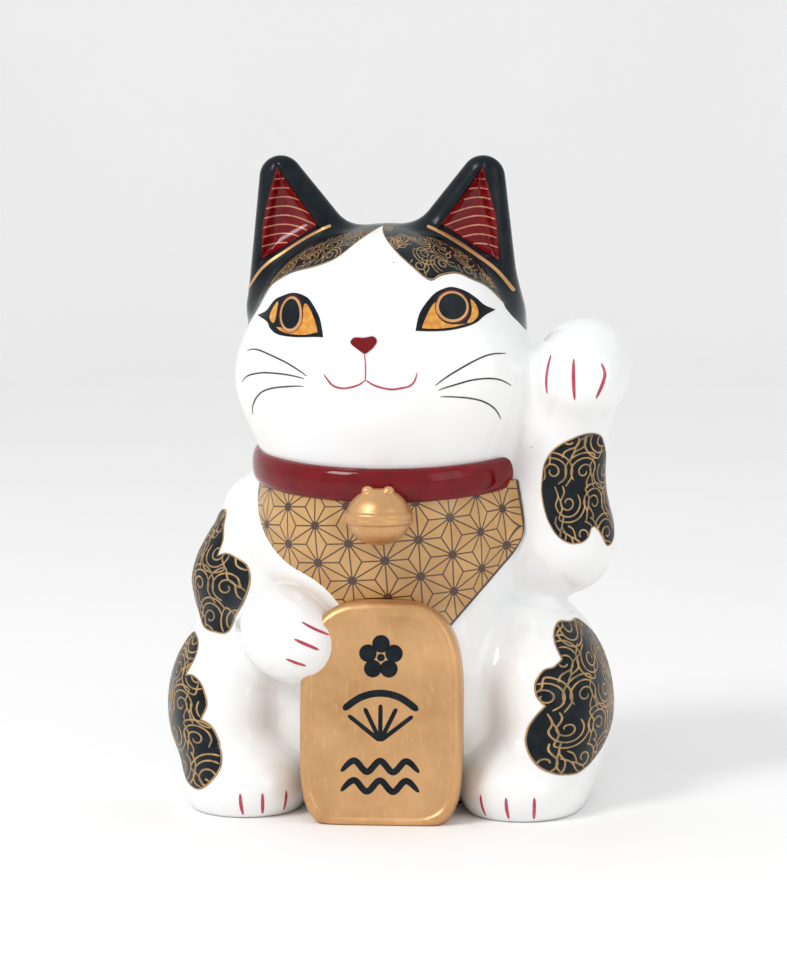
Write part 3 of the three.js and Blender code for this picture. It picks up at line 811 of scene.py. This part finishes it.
class Paint:
    """Films and brush lines of one colour on a form, drawn in the scale of mm over its surface."""

    def __init__(self, form, rays, scale, reach):
        self.form, self.rays, self.scale, self.reach = form, rays, np.array(scale, float), reach
        self.spots, self.lifts, self.faces, self.count = [], [], [], 0

    def add(self, flat, lifts, faces):
        self.faces += [[self.count + corner for corner in face] for face in faces]
        self.spots.append(np.asarray(flat) / self.scale)
        self.lifts.append(np.asarray(lifts, float))
        self.count += len(flat)

    def film(self, outline, lift=0.05, grid=1.1):
        edge = smooth(np.array(outline) * self.scale, True)
        low, high = edge.min(0), edge.max(0)
        rows = np.arange(low[1], high[1], grid * 0.87)
        columns = np.arange(low[0], high[0], grid)
        inner = np.array([(x + grid / 2 * (i % 2), y) for i, y in enumerate(rows) for x in columns])
        inner = inner[inside(inner, edge)]
        gap = np.linalg.norm(inner[:, None] - edge[None], axis=-1).min(1)
        inner = inner[gap > grid * 0.5]
        spots = np.concatenate([edge, inner])
        made = delaunay_2d_cdt([Vector(spot) for spot in spots], [], [list(range(len(edge)))], 1, 1e-6)
        flat, triangles = np.array([tuple(spot) for spot in made[0]]), made[2]
        count = len(flat)
        used = {}
        for face in triangles:
            for a, b in zip(face, face[1:] + face[:1]):
                used[(a, b)] = True
        rim = [(a, b) for a, b in used if (b, a) not in used]
        faces = list(triangles)
        faces += [[count + corner for corner in reversed(face)] for face in triangles]
        faces += [[b, a, count + a, count + b] for a, b in rim]
        self.add(np.concatenate([flat, flat]), [lift] * count + [-0.2] * count, faces)
        return self

    def line(self, path, width, lift=0.1, closed=False, taper=1.0, keep=None):
        """A brush line. A taper of 1 thins it all the way to both ends, and 0 leaves its ends blunt."""
        drawn = smooth(np.array(path) * self.scale, closed, 0.45)
        runs = [drawn]
        if keep is not None:
            kept = keep(drawn / self.scale)
            cuts = np.flatnonzero(np.diff(kept.astype(int))) + 1
            starts = np.concatenate([[0], cuts]).astype(int)
            runs = [run for run, use in zip(np.split(drawn, cuts), kept[starts]) if use]
            closed = closed and kept.all()
        for run in runs:
            if len(run) < 4:
                continue
            ahead = np.roll(run, -1, 0) - np.roll(run, 1, 0)
            if not closed:
                ahead[0], ahead[-1] = run[1] - run[0], run[-1] - run[-2]
            ahead /= np.linalg.norm(ahead, axis=1, keepdims=True) + 1e-9
            side = np.stack([-ahead[:, 1], ahead[:, 0]], -1)
            count = len(run)
            share = np.abs(np.linspace(-1, 1, count))
            wide = np.full(count, width / 2)
            if not closed:
                thinned = np.maximum((share - 1 + taper) / max(taper, 0.08), 0)
                wide *= np.sqrt(np.maximum(1 - thinned**2, 0.02))
            flat, lifts = [], []
            for across, rise in ((1, -0.2), (0.75, 0.75), (0, 1), (-0.75, 0.75), (-1, -0.2)):
                flat.append(run + side * (across * wide)[:, None])
                lifts.append(np.full(count, lift * rise if rise > 0 else rise))
            flat, lifts = np.stack(flat, 1).reshape(-1, 2), np.stack(lifts, 1).ravel()
            faces = []
            for i in range(count if closed else count - 1):
                a, b = 5 * i, 5 * ((i + 1) % count)
                faces += [[a + j, a + (j + 1) % 5, b + (j + 1) % 5, b + j] for j in range(5)]
            if not closed:
                faces += [[4, 3, 2, 1, 0], [5 * count - 5 + j for j in range(5)]]
            self.add(flat, lifts, faces)
        return self

    def done(self, name, material):
        lifts = np.concatenate(self.lifts)
        points = laid(self.form, self.rays, np.concatenate(self.spots), lifts, self.reach)
        return piece(name, points, self.faces, material, unit(slope_of(self.form, points)))


SKULL_MIDDLE = HEAD_MIDDLE + (0, 0, 36.5)
round_head = around(SKULL_MIDDLE, HEAD_AXES)
HEAD_SCALE = (0.72, 0.75)  # mm over the face for a degree round it, and for a degree up
HEAD_REACH = 75


def face_paint():
    return Paint(head_form, round_head, HEAD_SCALE, HEAD_REACH)


# The lower edge of the black, as degrees round from the front and degrees up.
CROWN_EDGE = [(-180, 26), (-150, 20), (-122, 24), (-104, 13), (-92, 10), (-74, 20), (-52, 29), (-43, 33)]
CROWN_EDGE += [(-29, 37), (-20, 43), (-16, 54), (-11, 70), (-6, 79), (1, 69), (7, 58), (14, 46), (21, 37)]
CROWN_EDGE += [(28, 30), (34, 32), (43, 33), (50, 30), (60, 26), (73, 17), (90, 11), (100, 14), (118, 24)]
CROWN_EDGE += [(150, 20), (180, 26)]


def crown_edge(lon):
    ends = np.array(CROWN_EDGE, float)
    line = smooth(ends, False, 2)
    order = np.argsort(line[:, 0])
    return np.interp(lon, line[order, 0], line[order, 1])


def crown_film():
    lons = np.arange(-180, 180, 1.5)
    rows = 44
    edge = crown_edge(lons)
    spots, lifts = [], []
    for lift in (0.05, -0.25):
        for row in range(rows):
            lats = edge + (90 - edge) * row / rows
            spots.append(np.stack([lons, lats], -1))
            lifts.append(np.full(len(lons), lift))
        spots.append(np.array([[0, 90]]))
        lifts.append(np.array([lift]))
    count = len(lons)
    under = rows * count + 1
    faces = []
    for i in range(count):
        j = (i + 1) % count
        for row in range(rows - 1):
            a, b = row * count, (row + 1) * count
            faces.append([a + i, a + j, b + j, b + i])
            faces.append([under + b + i, under + b + j, under + a + j, under + a + i])
        last = (rows - 1) * count
        faces.append([last + i, last + j, rows * count])
        faces.append([under + rows * count, under + last + j, under + last + i])
        faces.append([j, i, under + i, under + j])
    points = laid(head_form, round_head, np.concatenate(spots), np.concatenate(lifts), HEAD_REACH)
    return piece("crown_black", points, faces, BLACK, unit(slope_of(head_form, points)))


crown_film()


def cloud(at, size, turn, scale, hand=1):
    """Brush lines of one rolling cloud: a hook that curls up, and two bands that run off beside it."""
    at, turn = np.array(at, float), math.radians(turn)
    lines = []
    curls = ((0.52, 0.3, 0, 430, 0.5), (0.8, 1, 60, 210, 0.9), (1.1, 1.05, 110, 140, 1.1))
    for radius, shrink, start, sweep, tail in curls:
        path = []
        for along in range(0, sweep + 1, 35):
            share = along / sweep
            angle = math.radians(start + along)
            reach = size * radius * (1 + (shrink - 1) * share)
            path.append((reach * math.cos(angle), hand * reach * math.sin(angle)))
        path = path[::-1]
        x, y = path[-1]
        path.append((x + tail * size * 0.35, y - hand * tail * size * 0.5))
        path.append((x + tail * size * 1.0, y - hand * tail * size * 0.75))
        lines.append(path)
    c, s = math.cos(turn), math.sin(turn)
    return [[at + np.array((x * c - y * s, x * s + y * c)) / scale for x, y in path] for path in lines]


def cloud_gold():
    thin, full = (0.35, (0.22, 0.16, 0.09)), (0.65, (0.55, 0.33, 0.13))
    line = brushed("cloud_gold", 4, thin, full, Metallic=0.35)
    line.gloss(2, 0.35, 0.5)
    return line.material


CLOUD_GOLD = cloud_gold()
crown_lines = face_paint()
over_edge = lambda spots: (spots[:, 1] > crown_edge(spots[:, 0]) + 1.6) & (spots[:, 1] < 78)
crown_lines.line([(lon, crown_edge(lon) + 0.6) for lon in range(-150, 151, 3)], 0.5, taper=0.02)
CLOUD_ROWS = ((5.5, 4.2), (14.5, 4.6), (25, 4.6))  # degrees over the edge, and size in mm
for row, (above_edge, size) in enumerate(CLOUD_ROWS):
    for place, lon in enumerate(range(-79 + 6 * row, 86, 13)):
        at = (lon, crown_edge(lon) + above_edge)
        hand = 1 if (place + row) % 2 else -1
        for path in cloud(at, size, (200 if lon < 0 else -20) + 47 * place % 80, HEAD_SCALE, hand):
            crown_lines.line(path, 0.55, taper=0.15, keep=over_edge)
crown_lines.done("crown_clouds", CLOUD_GOLD)

# ---- Eyes --------------------------------------------
# Each eye is a black almond with a drawn-out outer corner. In it are an amber iris, and a gold ring round
# a black pupil with a fine red line outside it, all brushed on and fired.

EYE_SHAPES = {
    "right": {
        "lid": [(-60, 14), (-60, 14), (-50, 12), (-46, 9), (-41, 7), (-33, 6.5), (-24, 7), (-20, 7)]
        + [(-20, 7), (-20.5, 11), (-22, 16), (-26.5, 21.5), (-31, 23.5), (-36.5, 24), (-42, 22.5)]
        + [(-47, 20.5), (-52, 16)],
        "amber": [
            [(-29, 20), (-26, 18), (-23.5, 13), (-22.5, 9), (-22.5, 9), (-28, 7.8), (-34, 7.6), (-40, 8.5)]
            + [(-43, 10), (-43, 10), (-38, 10), (-33, 11), (-30, 14)],
            [(-44, 20), (-47, 17), (-48, 13.5), (-45, 11.5), (-44, 14)],
        ],
        "ring": (-35.8, 15.6, 5.3, 6.4),
    },
    "left": {
        "lid": [(59, 17), (59, 17), (52.5, 19), (48.5, 22), (43.7, 25), (38, 26.8), (33.5, 26.2), (29, 24.3)]
        + [(24.5, 20), (22, 16), (20.7, 10), (20.7, 10), (28.5, 9.6), (35.6, 9.8), (42, 10.8)]
        + [(46.7, 12.2), (52, 15)],
        "amber": [
            [(29.5, 21), (26.5, 18), (24, 13), (23.4, 11), (23.4, 11), (29, 10.6), (36, 10.9), (42, 12)]
            + [(42, 12), (36, 12), (32, 13.5), (30, 16.5)],
            [(45.5, 21.5), (48, 18.5), (48, 15), (45, 12.6), (42.5, 12.4), (44.5, 15), (45.3, 18)],
        ],
        "ring": (36.7, 19, 6.6, 5.6),
    },
}


def amber_paint():
    dark, light = (0.3, (0.55, 0.20, 0.018)), (0.7, (0.83, 0.40, 0.05))
    paint = brushed("amber_overglaze", 1.6, dark, light, Coat_Weight=0.5, Coat_Roughness=0.05)
    paint.gloss(4, 0.15, 0.25)
    return paint.material


def ring_path(middle, radius_u, radius_v, count=24):
    turns = [2 * math.pi * i / count for i in range(count)]
    return [(middle[0] + radius_u * math.cos(t), middle[1] + radius_v * math.sin(t)) for t in turns]


AMBER = amber_paint()
for side, shapes in EYE_SHAPES.items():
    lid = face_paint().film(shapes["lid"], 0.08, 0.8)
    lid.done(side + "_eye_black", BLACK)
    iris = face_paint()
    for area in shapes["amber"]:
        iris.film(area, 0.13, 0.7)
    iris.done(side + "_eye_amber", AMBER)
    u, v, wide, tall = shapes["ring"]
    gold = face_paint()
    gold.line(ring_path((u, v), wide, tall), 0.95, 0.3, closed=True)
    gold.done(side + "_eye_ring", GOLD)
    fine = face_paint()
    fine.line(ring_path((u, v), wide + 1, tall + 1), 0.3, 0.2, closed=True)
    fine.done(side + "_eye_fine_line", RED)
    disc = ring_path((u, v), wide - 0.3, tall - 0.3)
    pupil = face_paint().film(disc, 0.22, 0.8)
    pupil.done(side + "_pupil", BLACK)

# ---- Nose and mouth ----------------------------------
# A small dark red nose, and a mouth line in thinner crimson that turns up at both ends.


def crimson_paint():
    full, thin = (0.3, (0.34, 0.012, 0.035)), (0.7, (0.58, 0.07, 0.13))
    paint = brushed("crimson_overglaze", 2.5, full, thin, Coat_Weight=0.3, Coat_Roughness=0.08)
    paint.gloss(3, 0.2, 0.32)
    return paint.material


CRIMSON = crimson_paint()
NOSE = [(-7.3, 5), (-5.6, 7.2), (-1.4, 7.2), (2.6, 7.8), (4.2, 5.8), (2.4, 2.8), (-0.9, 0.2), (-0.9, 0.2)]
NOSE += [(-4.5, 2.6)]
nose = face_paint().film(NOSE, 0.3, 0.7)
nose.done("nose_paint", RED)
mouth = face_paint()
mouth.line([(-1.1, 0), (-0.3, -4), (0, -9.8)], 0.5, 0.12, taper=0.2)
for smile in (
    [(0.2, -9.6), (-3, -11.6), (-8.5, -12.8), (-13, -12.2), (-16, -10.2), (-18.2, -8)],
    [(0, -9.6), (4, -11.7), (10, -13), (14, -12.7), (17.6, -12), (19.7, -10.2), (21, -7)],
):
    mouth.line(smile, 0.65, 0.12, taper=0.5)
mouth.done("mouth_line", CRIMSON)

# ---- Whiskers ----------------------------------------
# Three fine strokes on each cheek in grey-green black, laid with the tip of a long brush.


def whisker_paint():
    full, thin = (0.3, (0.018, 0.024, 0.02)), (0.7, (0.075, 0.085, 0.07))
    paint = brushed("whisker_overglaze", 3, full, thin)
    paint.gloss(3, 0.25, 0.4)
    return paint.material


WHISKER = whisker_paint()
WHISKERS = {
    "right": (
        [(-56, 0), (-52, 0.8), (-46, 0), (-36, -3.5), (-26, -9)],
        [(-57, -11), (-53, -8.8), (-48, -7.8), (-43, -7.5), (-35, -8.3), (-27, -10)],
        [(-55, -23), (-52, -19), (-46.5, -14.8), (-41, -13.2), (-34, -12.8), (-27, -12.8)],
    ),
    "left": (
        [(28, -12), (33, -8.3), (40, -4), (46, -1.2), (51, 0), (57, 0)],
        [(29, -13.7), (36, -11.2), (42, -9.3), (48, -8.6), (53, -9.2), (58, -11.2)],
        [(30, -16), (36, -15.8), (42, -16), (47, -17), (52, -19.5), (56.5, -23.5)],
    ),
}
for side, strokes in WHISKERS.items():
    brush = face_paint()
    for path in strokes:
        brush.line(path, 0.55, 0.1, taper=0.6)
    brush.done(side + "_whiskers", WHISKER)

# ---- Claws -------------------------------------------
# Three short crimson strokes on each paw and hind foot mark the toes, pressed on with a loaded brush.


def claws(name, middle, strokes, scale, reach):
    brush = Paint(white_form, around(middle), scale, reach)
    for path in strokes:
        brush.line(path, 1.35, 0.12, taper=0.9)
    brush.done(name, CRIMSON)


def towards(*spots):
    """Spots given as across, behind and up from a middle, turned into degrees round it and degrees up."""
    angles = [(math.atan2(x, -y), math.atan2(z, math.hypot(x, y))) for x, y, z in spots]
    return [(math.degrees(lon), math.degrees(lat)) for lon, lat in angles]


RAISED_PAW, LEFT_FOOT, RIGHT_FOOT = (61.6, -24, 139), (42, -38, 8), (-42, -38, 8)
raised_strokes = (
    [(-42, 14), (-42, -6), (-41, -26)],
    [(-11, 10), (-10, -10), (-9, -31)],
    [(20, 5), (23, -8), (14, -30)],
)
lowered_strokes = (
    towards((2.8, -10.2, 7.8), (6.7, -9.5, 5.6), (10.7, -6.5, 3.4)),
    towards((0.7, -13, 3), (4.6, -12.2, 1.1), (8, -10.2, -0.7)),
    towards((-1.8, -12.5, -3.2), (1.2, -12, -4.5), (4.1, -10.9, -5.6)),
)
claws("raised_paw_claws", RAISED_PAW, raised_strokes, (0.3, 0.3), 40)
claws("lowered_paw_claws", LOWERED_PAW, lowered_strokes, (0.25, 0.25), 30)
for side, middle in (("left", LEFT_FOOT), ("right", RIGHT_FOOT)):
    toes = []
    for lon in (-33, -8, 16) if side == "left" else (-2, 17, 41):
        toes.append([(lon, 1), (lon + 0.5, -10), (lon + 1.5, -20)])
    claws(side + "_foot_claws", middle, toes, (0.36, 0.36), 40)

# ---- Cloud patches -----------------------------------
# Four black patches, on both forelegs and both haunches, have lobed edges like clouds. Each has a fine
# gold rim and rolling gold cloud lines, in the same two firings as the crown.


def post(x, y):
    """Rays out of an upright post, by degrees round it from the front and height in mm."""

    def rays(spots):
        angle = np.radians(spots[:, 0])
        way = np.stack([np.sin(angle), -np.cos(angle), 0 * angle], -1)
        return np.stack([x + 0 * angle, y + 0 * angle, spots[:, 1]], -1), way

    return rays


# Each outline is given in degrees round the post, and in mm up. A point given twice is a sharp corner.
PATCHES = {
    "raised_foreleg": {
        "post": (55.3, -17),
        "scale": (0.24, 1),
        "reach": 24,
        "outline": [(6, 116), (26, 118), (45, 117), (60, 113), (80, 108), (100, 101), (108, 94), (98, 88)]
        + [(84, 83), (70, 82), (60, 85), (60, 85), (50, 88), (42, 88), (36, 85), (25, 83.5)]
        + [(9, 83.5), (-8, 86), (-22, 91), (-30, 97), (-30, 102), (-24, 108), (-10, 113)],
    },
    "lowered_foreleg": {
        "post": (-44, -9),
        "scale": (0.32, 1),
        "reach": 40,
        "outline": [(-98, 89), (-80, 91), (-60, 90), (-44, 87), (-30, 83), (-28, 78), (-28, 78), (-20, 79)]
        + [(-9, 78), (1, 76), (4, 72), (1, 66), (-4, 61), (-10, 55.5), (-20, 55), (-35, 56)]
        + [(-50, 59), (-66, 63), (-82, 68), (-95, 74), (-104, 82)],
    },
    "right_haunch": {
        "post": (-46.5, -5),
        "scale": (0.52, 1),
        "reach": 70,
        "outline": [(-30, 53), (-23, 51), (-22, 47), (-26, 41.5), (-26, 41.5), (-20, 42), (-14, 39.5)]
        + [(-11, 34), (-14, 29), (-14, 29), (-9, 27), (-5, 21), (-3.5, 16), (-6, 12), (-11, 8.5)]
        + [(-18, 8.5), (-28, 11), (-38, 15), (-48, 22), (-54, 31), (-53, 40), (-46, 48), (-38, 53)],
    },
    "left_haunch": {
        "post": (46.5, -5),
        "scale": (0.5, 1),
        "reach": 70,
        "outline": [(31, 58), (19, 58.5), (13, 56.5), (12, 53), (14.5, 48.5), (14.5, 48.5), (10, 46.5)]
        + [(5, 45.5), (1.5, 42), (2, 38), (5.5, 35), (5.5, 35), (2, 32), (-1.5, 28), (-2.5, 24)]
        + [(-1, 20.5), (3, 17), (8, 15), (13, 14), (22, 13.5), (38, 16), (55, 22), (72, 28), (84, 36)]
        + [(86, 44), (76, 51), (62, 55), (46, 58)],
    },
}
CLOUD_STEP = 10
CLOUD_SIZE = 5.4
CLOUD_LINE = 0.62
PATCH_RIM = 0.5
for name, patch in PATCHES.items():
    tools = (white_form, post(*patch["post"]), patch["scale"], patch["reach"])
    Paint(*tools).film(patch["outline"], 0.07).done(name + "_patch", BLACK)
    edge = np.array(patch["outline"], float)
    rim = smooth(edge * patch["scale"], True) / patch["scale"]
    fine = Paint(*tools).line(patch["outline"], PATCH_RIM, 0.15, closed=True)
    low, high = edge.min(0), edge.max(0)
    across = CLOUD_STEP / patch["scale"][0]
    for row, up in enumerate(np.arange(low[1] + 4, high[1], CLOUD_STEP)):
        for place, turn in enumerate(np.arange(low[0] + across * (0.4 + 0.5 * (row % 2)), high[0], across)):
            hand = 1 if (place + row) % 2 else -1
            for path in cloud((turn, up), CLOUD_SIZE, 60 + 110 * place + 70 * row, patch["scale"], hand):
                fine.line(path, CLOUD_LINE, 0.16, taper=0.15, keep=lambda spots: inside(spots, rim))
    fine.done(name + "_clouds", CLOUD_GOLD)

# ---- Inside of the ears ------------------------------
# The hollow of each ear is dark red, with eight pale stripes that arch over one another. A strip of gold
# lustre runs along the foot of the ear, over the seam.


def ear_rays(spots):
    start = np.stack([spots[:, 0], 4 + 0 * spots[:, 0], spots[:, 1]], -1)
    way = np.tile([0, -1.0, 0], (len(spots), 1))
    return HEAD_MIDDLE + start @ HEAD_AXES.T, way @ HEAD_AXES.T


def stripe_paint():
    thin, full = (0.3, (0.45, 0.16, 0.09)), (0.7, (0.68, 0.33, 0.22))
    paint = brushed("stripe_overglaze", 2, thin, full, Coat_Weight=0.3, Coat_Roughness=0.08)
    paint.gloss(3, 0.25, 0.4)
    return paint.material


STRIPE = stripe_paint()
EAR_PANEL = [(33, 94), (33, 94), (28, 86.5), (19.8, 75.8), (19.8, 75.8), (29, 70), (38.3, 64.5)]
EAR_PANEL += [(38.3, 64.5), (37.2, 78)]
EAR_STRIPES = 8
EAR_STRIP = [(15.5, 75.3), (21, 72.8), (29, 68), (37.5, 61.8), (43, 55)]
for side, name in ((1, "left"), (-1, "right")):
    flap, hollow = ear_parts(side)
    hollowed = carve(EAR_EDGE, luted(on_head(flap), head_form, EAR_WIPE), on_head(hollow))
    across = lambda x: EAR_SHIFT + side * x
    panel = [(across(x), z) for x, z in EAR_PANEL]
    red = Paint(hollowed, ear_rays, (1, 1), 40).film(panel, 0.16, 0.9)
    red.done(name + "_ear_red", RED)
    edge = smooth(np.array(panel), True)
    pale = Paint(hollowed, ear_rays, (1, 1), 40)
    for row in range(EAR_STRIPES):
        top = 90 - 2.9 * row
        arch = ((19 - row * 0.3, -4.2), (27, -0.6), (33, 0), (40, -1.8))
        path = [(across(x), top + down) for x, down in arch]
        pale.line(path, 0.55, 0.26, taper=0.1, keep=lambda spots: inside(spots, edge))
    pale.done(name + "_ear_stripes", STRIPE)
    front = lambda p: np.minimum(hollowed(p), head_form(p))
    strip = Paint(front, ear_rays, (1, 1), 50)
    strip.line([(across(x), z) for x, z in EAR_STRIP], 1.1, 0.25, taper=0.06)
    strip.done(name + "_ear_strip", GOLD)

# ---- Brush marks on the plaque -----------------------
# Three plain ornaments stand one over another on the plaque, in thick black: a plum blossom, an open fan
# and a pair of waves.


def plaque_rays(spots):
    tilt = np.array([0, math.sin(KOBAN_LEAN), math.cos(KOBAN_LEAN)])
    out = np.array([0, math.cos(KOBAN_LEAN), -math.sin(KOBAN_LEAN)])
    start = KOBAN_FOOT + spots[:, :1] * np.array([1, 0, 0]) + spots[:, 1:] * tilt + 4 * out
    return start, np.tile(-out, (len(spots), 1))


BLOSSOM_Z = 51.5
FAN_FOOT = 26
WAVE_FEET = (17.5, 11.5)
brush = Paint(plaque_form, plaque_rays, (1, 1), 9)
for petal in range(5):
    turn = math.radians(90 + 72 * petal)
    middle = (4.2 * math.cos(turn), BLOSSOM_Z + 4.2 * math.sin(turn))
    brush.film(ring_path(middle, 2.7, 2.7, 12), 0.12, 0.8)
brush.film(ring_path((0, BLOSSOM_Z), 1.2, 1.2, 10), 0.12, 0.8)
arch = ((-11.5, 9.5), (-6, 13.3), (0, 14.6), (6, 13.3), (11.5, 9.5))
brush.line([(x, FAN_FOOT + up) for x, up in arch], 2.6, 0.15, taper=0.2)
for spread in (-52, -26, 0, 26, 52):
    turn = math.radians(spread)
    reach = 12.6 if abs(spread) > 40 else 11.2
    end = (reach * math.sin(turn), FAN_FOOT + reach * math.cos(turn))
    brush.line([(0, FAN_FOOT), (end[0] / 2, (FAN_FOOT + end[1]) / 2), end], 1.6, 0.15, taper=0.3)
for foot in WAVE_FEET:
    wave = [(x, foot + (2.4 if i % 2 else -1)) for i, x in enumerate(range(-12, 13, 4))]
    brush.line(wave, 2.4, 0.15, taper=0.35)
brush.done("plaque_ornaments", BLACK)

# ---- Stopper -----------------------------------------
# A soft bung, moulded in pale rubber, is pushed up into the hole in the base. Two grooves round its plug
# let it squeeze in, and a shallow round dish in the flange gives a fingertip its hold.


def soft_rubber():
    moulded = Finish("soft_rubber", IOR=1.45)
    dusty = moulded.noise(8, 4, 0.6)
    moulded.color(moulded.ramp(dusty, (0.3, (0.52, 0.49, 0.42)), (0.7, (0.63, 0.6, 0.53))))
    moulded.roughness(moulded.ramp(moulded.noise(3, 3), (0.3, grey(0.55)), (0.7, grey(0.75))))
    moulded.bump(moulded.noise(0.5, 3), 0.03)
    return moulded.material


rubber = soft_rubber()


def turned(name, profile, middle, material, steps=96):
    """A piece turned round an upright axis from a profile of radius and height, closed at both ends."""
    x, y = middle
    points = [(x, y, profile[0][1]), (x, y, profile[-1][1])]
    rings = profile[1:-1]
    for radius, up in rings:
        points += [(*spot, up) for spot in ring_path(middle, radius, radius, steps)]
    faces = []
    for i in range(steps):
        j = (i + 1) % steps
        faces.append((0, 2 + j, 2 + i))
        for ring in range(len(rings) - 1):
            a, b = 2 + ring * steps, 2 + (ring + 1) * steps
            faces.append((a + i, a + j, b + j, b + i))
        last = 2 + (len(rings) - 1) * steps
        faces.append((1, last + i, last + j))
    return piece(name, points, faces, material)


PLUG_RADIUS = BORE_RADIUS - JOINT_GAP
FLANGE_RADIUS = 19.5
bottom = bung_low.z / MM
flange_top = FOOT_RING - JOINT_GAP
top = bung_high.z / MM
profile = [(0, bottom + 0.5), (6, bottom + 0.5), (7, bottom), (FLANGE_RADIUS - 0.6, bottom)]
profile += [(FLANGE_RADIUS - 0.1, bottom + 0.4), (FLANGE_RADIUS, flange_top - 0.4)]
profile += [(FLANGE_RADIUS - 0.4, flange_top), (PLUG_RADIUS + 0.4, flange_top)]
profile += [(PLUG_RADIUS, flange_top + 0.4)]
for groove in (1.5, 3.9):
    for step in range(7):
        dip = 0.35 * (1 + math.cos(math.pi * (step - 3) / 3))
        profile.append((PLUG_RADIUS - 0.8 * groove / 9 - dip, flange_top + groove + 0.2 * (step - 3)))
profile += [(15, top - 1.4), (14.8, top - 0.6), (14.2, top), (12, top), (11.4, top - 0.6), (0, top - 0.6)]
bung = turned("rubber_stopper", profile, (0, BORE_Y), rubber)
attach(bung, "stopper")
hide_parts("base_bung")

# ---- Studio ------------------------------------------
# The figure stands in a wide round bowl of pale paper. It is lit by a soft box at the upper left, a dim
# fill from the right, and a bright even surround.

SWEEP_RADIUS = 0.5
SWEEP_FLOOR = 2.0
SWEEP_TOP = 0.9
SWEEP_SIDES = 96
sweep_profile = []
for step in range(13):
    angle = math.pi / 2 * step / 12
    out = SWEEP_FLOOR + SWEEP_RADIUS * math.sin(angle)
    sweep_profile.append((out, SWEEP_RADIUS * (1 - math.cos(angle))))
sweep_profile.append((SWEEP_FLOOR + SWEEP_RADIUS, SWEEP_TOP))
sweep_points = [(0, 0, 0)]
for out, up in sweep_profile:
    sweep_points += [(*spot, up) for spot in ring_path((0, 0), out, out, SWEEP_SIDES)]
sweep_faces = []
for i in range(SWEEP_SIDES):
    j = (i + 1) % SWEEP_SIDES
    sweep_faces.append((0, 1 + i, 1 + j))
    for ring in range(len(sweep_profile) - 1):
        a, b = 1 + ring * SWEEP_SIDES, 1 + (ring + 1) * SWEEP_SIDES
        sweep_faces.append((a + i, b + i, b + j, a + j))
sweep_mesh = bpy.data.meshes.new("paper_sweep")
sweep_mesh.from_pydata(sweep_points, [], sweep_faces)
sweep_mesh.shade_smooth()
paper = Finish("pale_paper")
paper.color(paper.ramp(paper.noise(300, 3), (0.3, grey(0.955)), (0.7, grey(0.975))))
paper.gloss(4, 0.75, 0.85)
sweep_mesh.materials.append(paper.material)
sweep = bpy.data.objects.new("paper_sweep", sweep_mesh)
bpy.context.scene.collection.objects.link(sweep)

world = bpy.data.worlds.new("bright_surround")
world.use_nodes = True
world.node_tree.nodes["Background"].inputs["Color"].default_value = (1, 1, 1, 1)
world.node_tree.nodes["Background"].inputs["Strength"].default_value = 0.8
bpy.context.scene.world = world

CENTRE = Vector(BODY_MIDDLE) + Vector((0, 0, 0.0972))  # the camera and the lights point here, in metres


def soft_box(name, place, width, height, watts):
    light = bpy.data.lights.new(name, "AREA")
    light.shape = "RECTANGLE"
    light.size, light.size_y, light.energy = width, height, watts
    made = bpy.data.objects.new(name, light)
    made.location = CENTRE + Vector(place)
    made.rotation_euler = (-Vector(place)).to_track_quat("-Z", "Y").to_euler()
    bpy.context.scene.collection.objects.link(made)


soft_box("key_box", (-0.75, -0.8, 0.95), 0.45, 0.45, 8)
soft_box("fill_box", (1.1, -0.9, 0.5), 0.7, 0.9, 2)

AZIMUTH, ELEVATION, DISTANCE = math.radians(4.5), math.radians(6), 1.0
level = math.cos(ELEVATION)
away = Vector((math.sin(AZIMUTH) * level, -math.cos(AZIMUTH) * level, math.sin(ELEVATION)))
camera = bpy.data.cameras.new("camera")
camera.lens, camera.sensor_width = 114.3, 36
camera_object = bpy.data.objects.new("camera", camera)
camera_object.location = CENTRE + away * DISTANCE
camera_object.rotation_euler = (-away).to_track_quat("-Z", "Y").to_euler()
bpy.context.scene.collection.objects.link(camera_object)
bpy.context.scene.camera = camera_object
bpy.context.scene.view_settings.view_transform = "Standard"
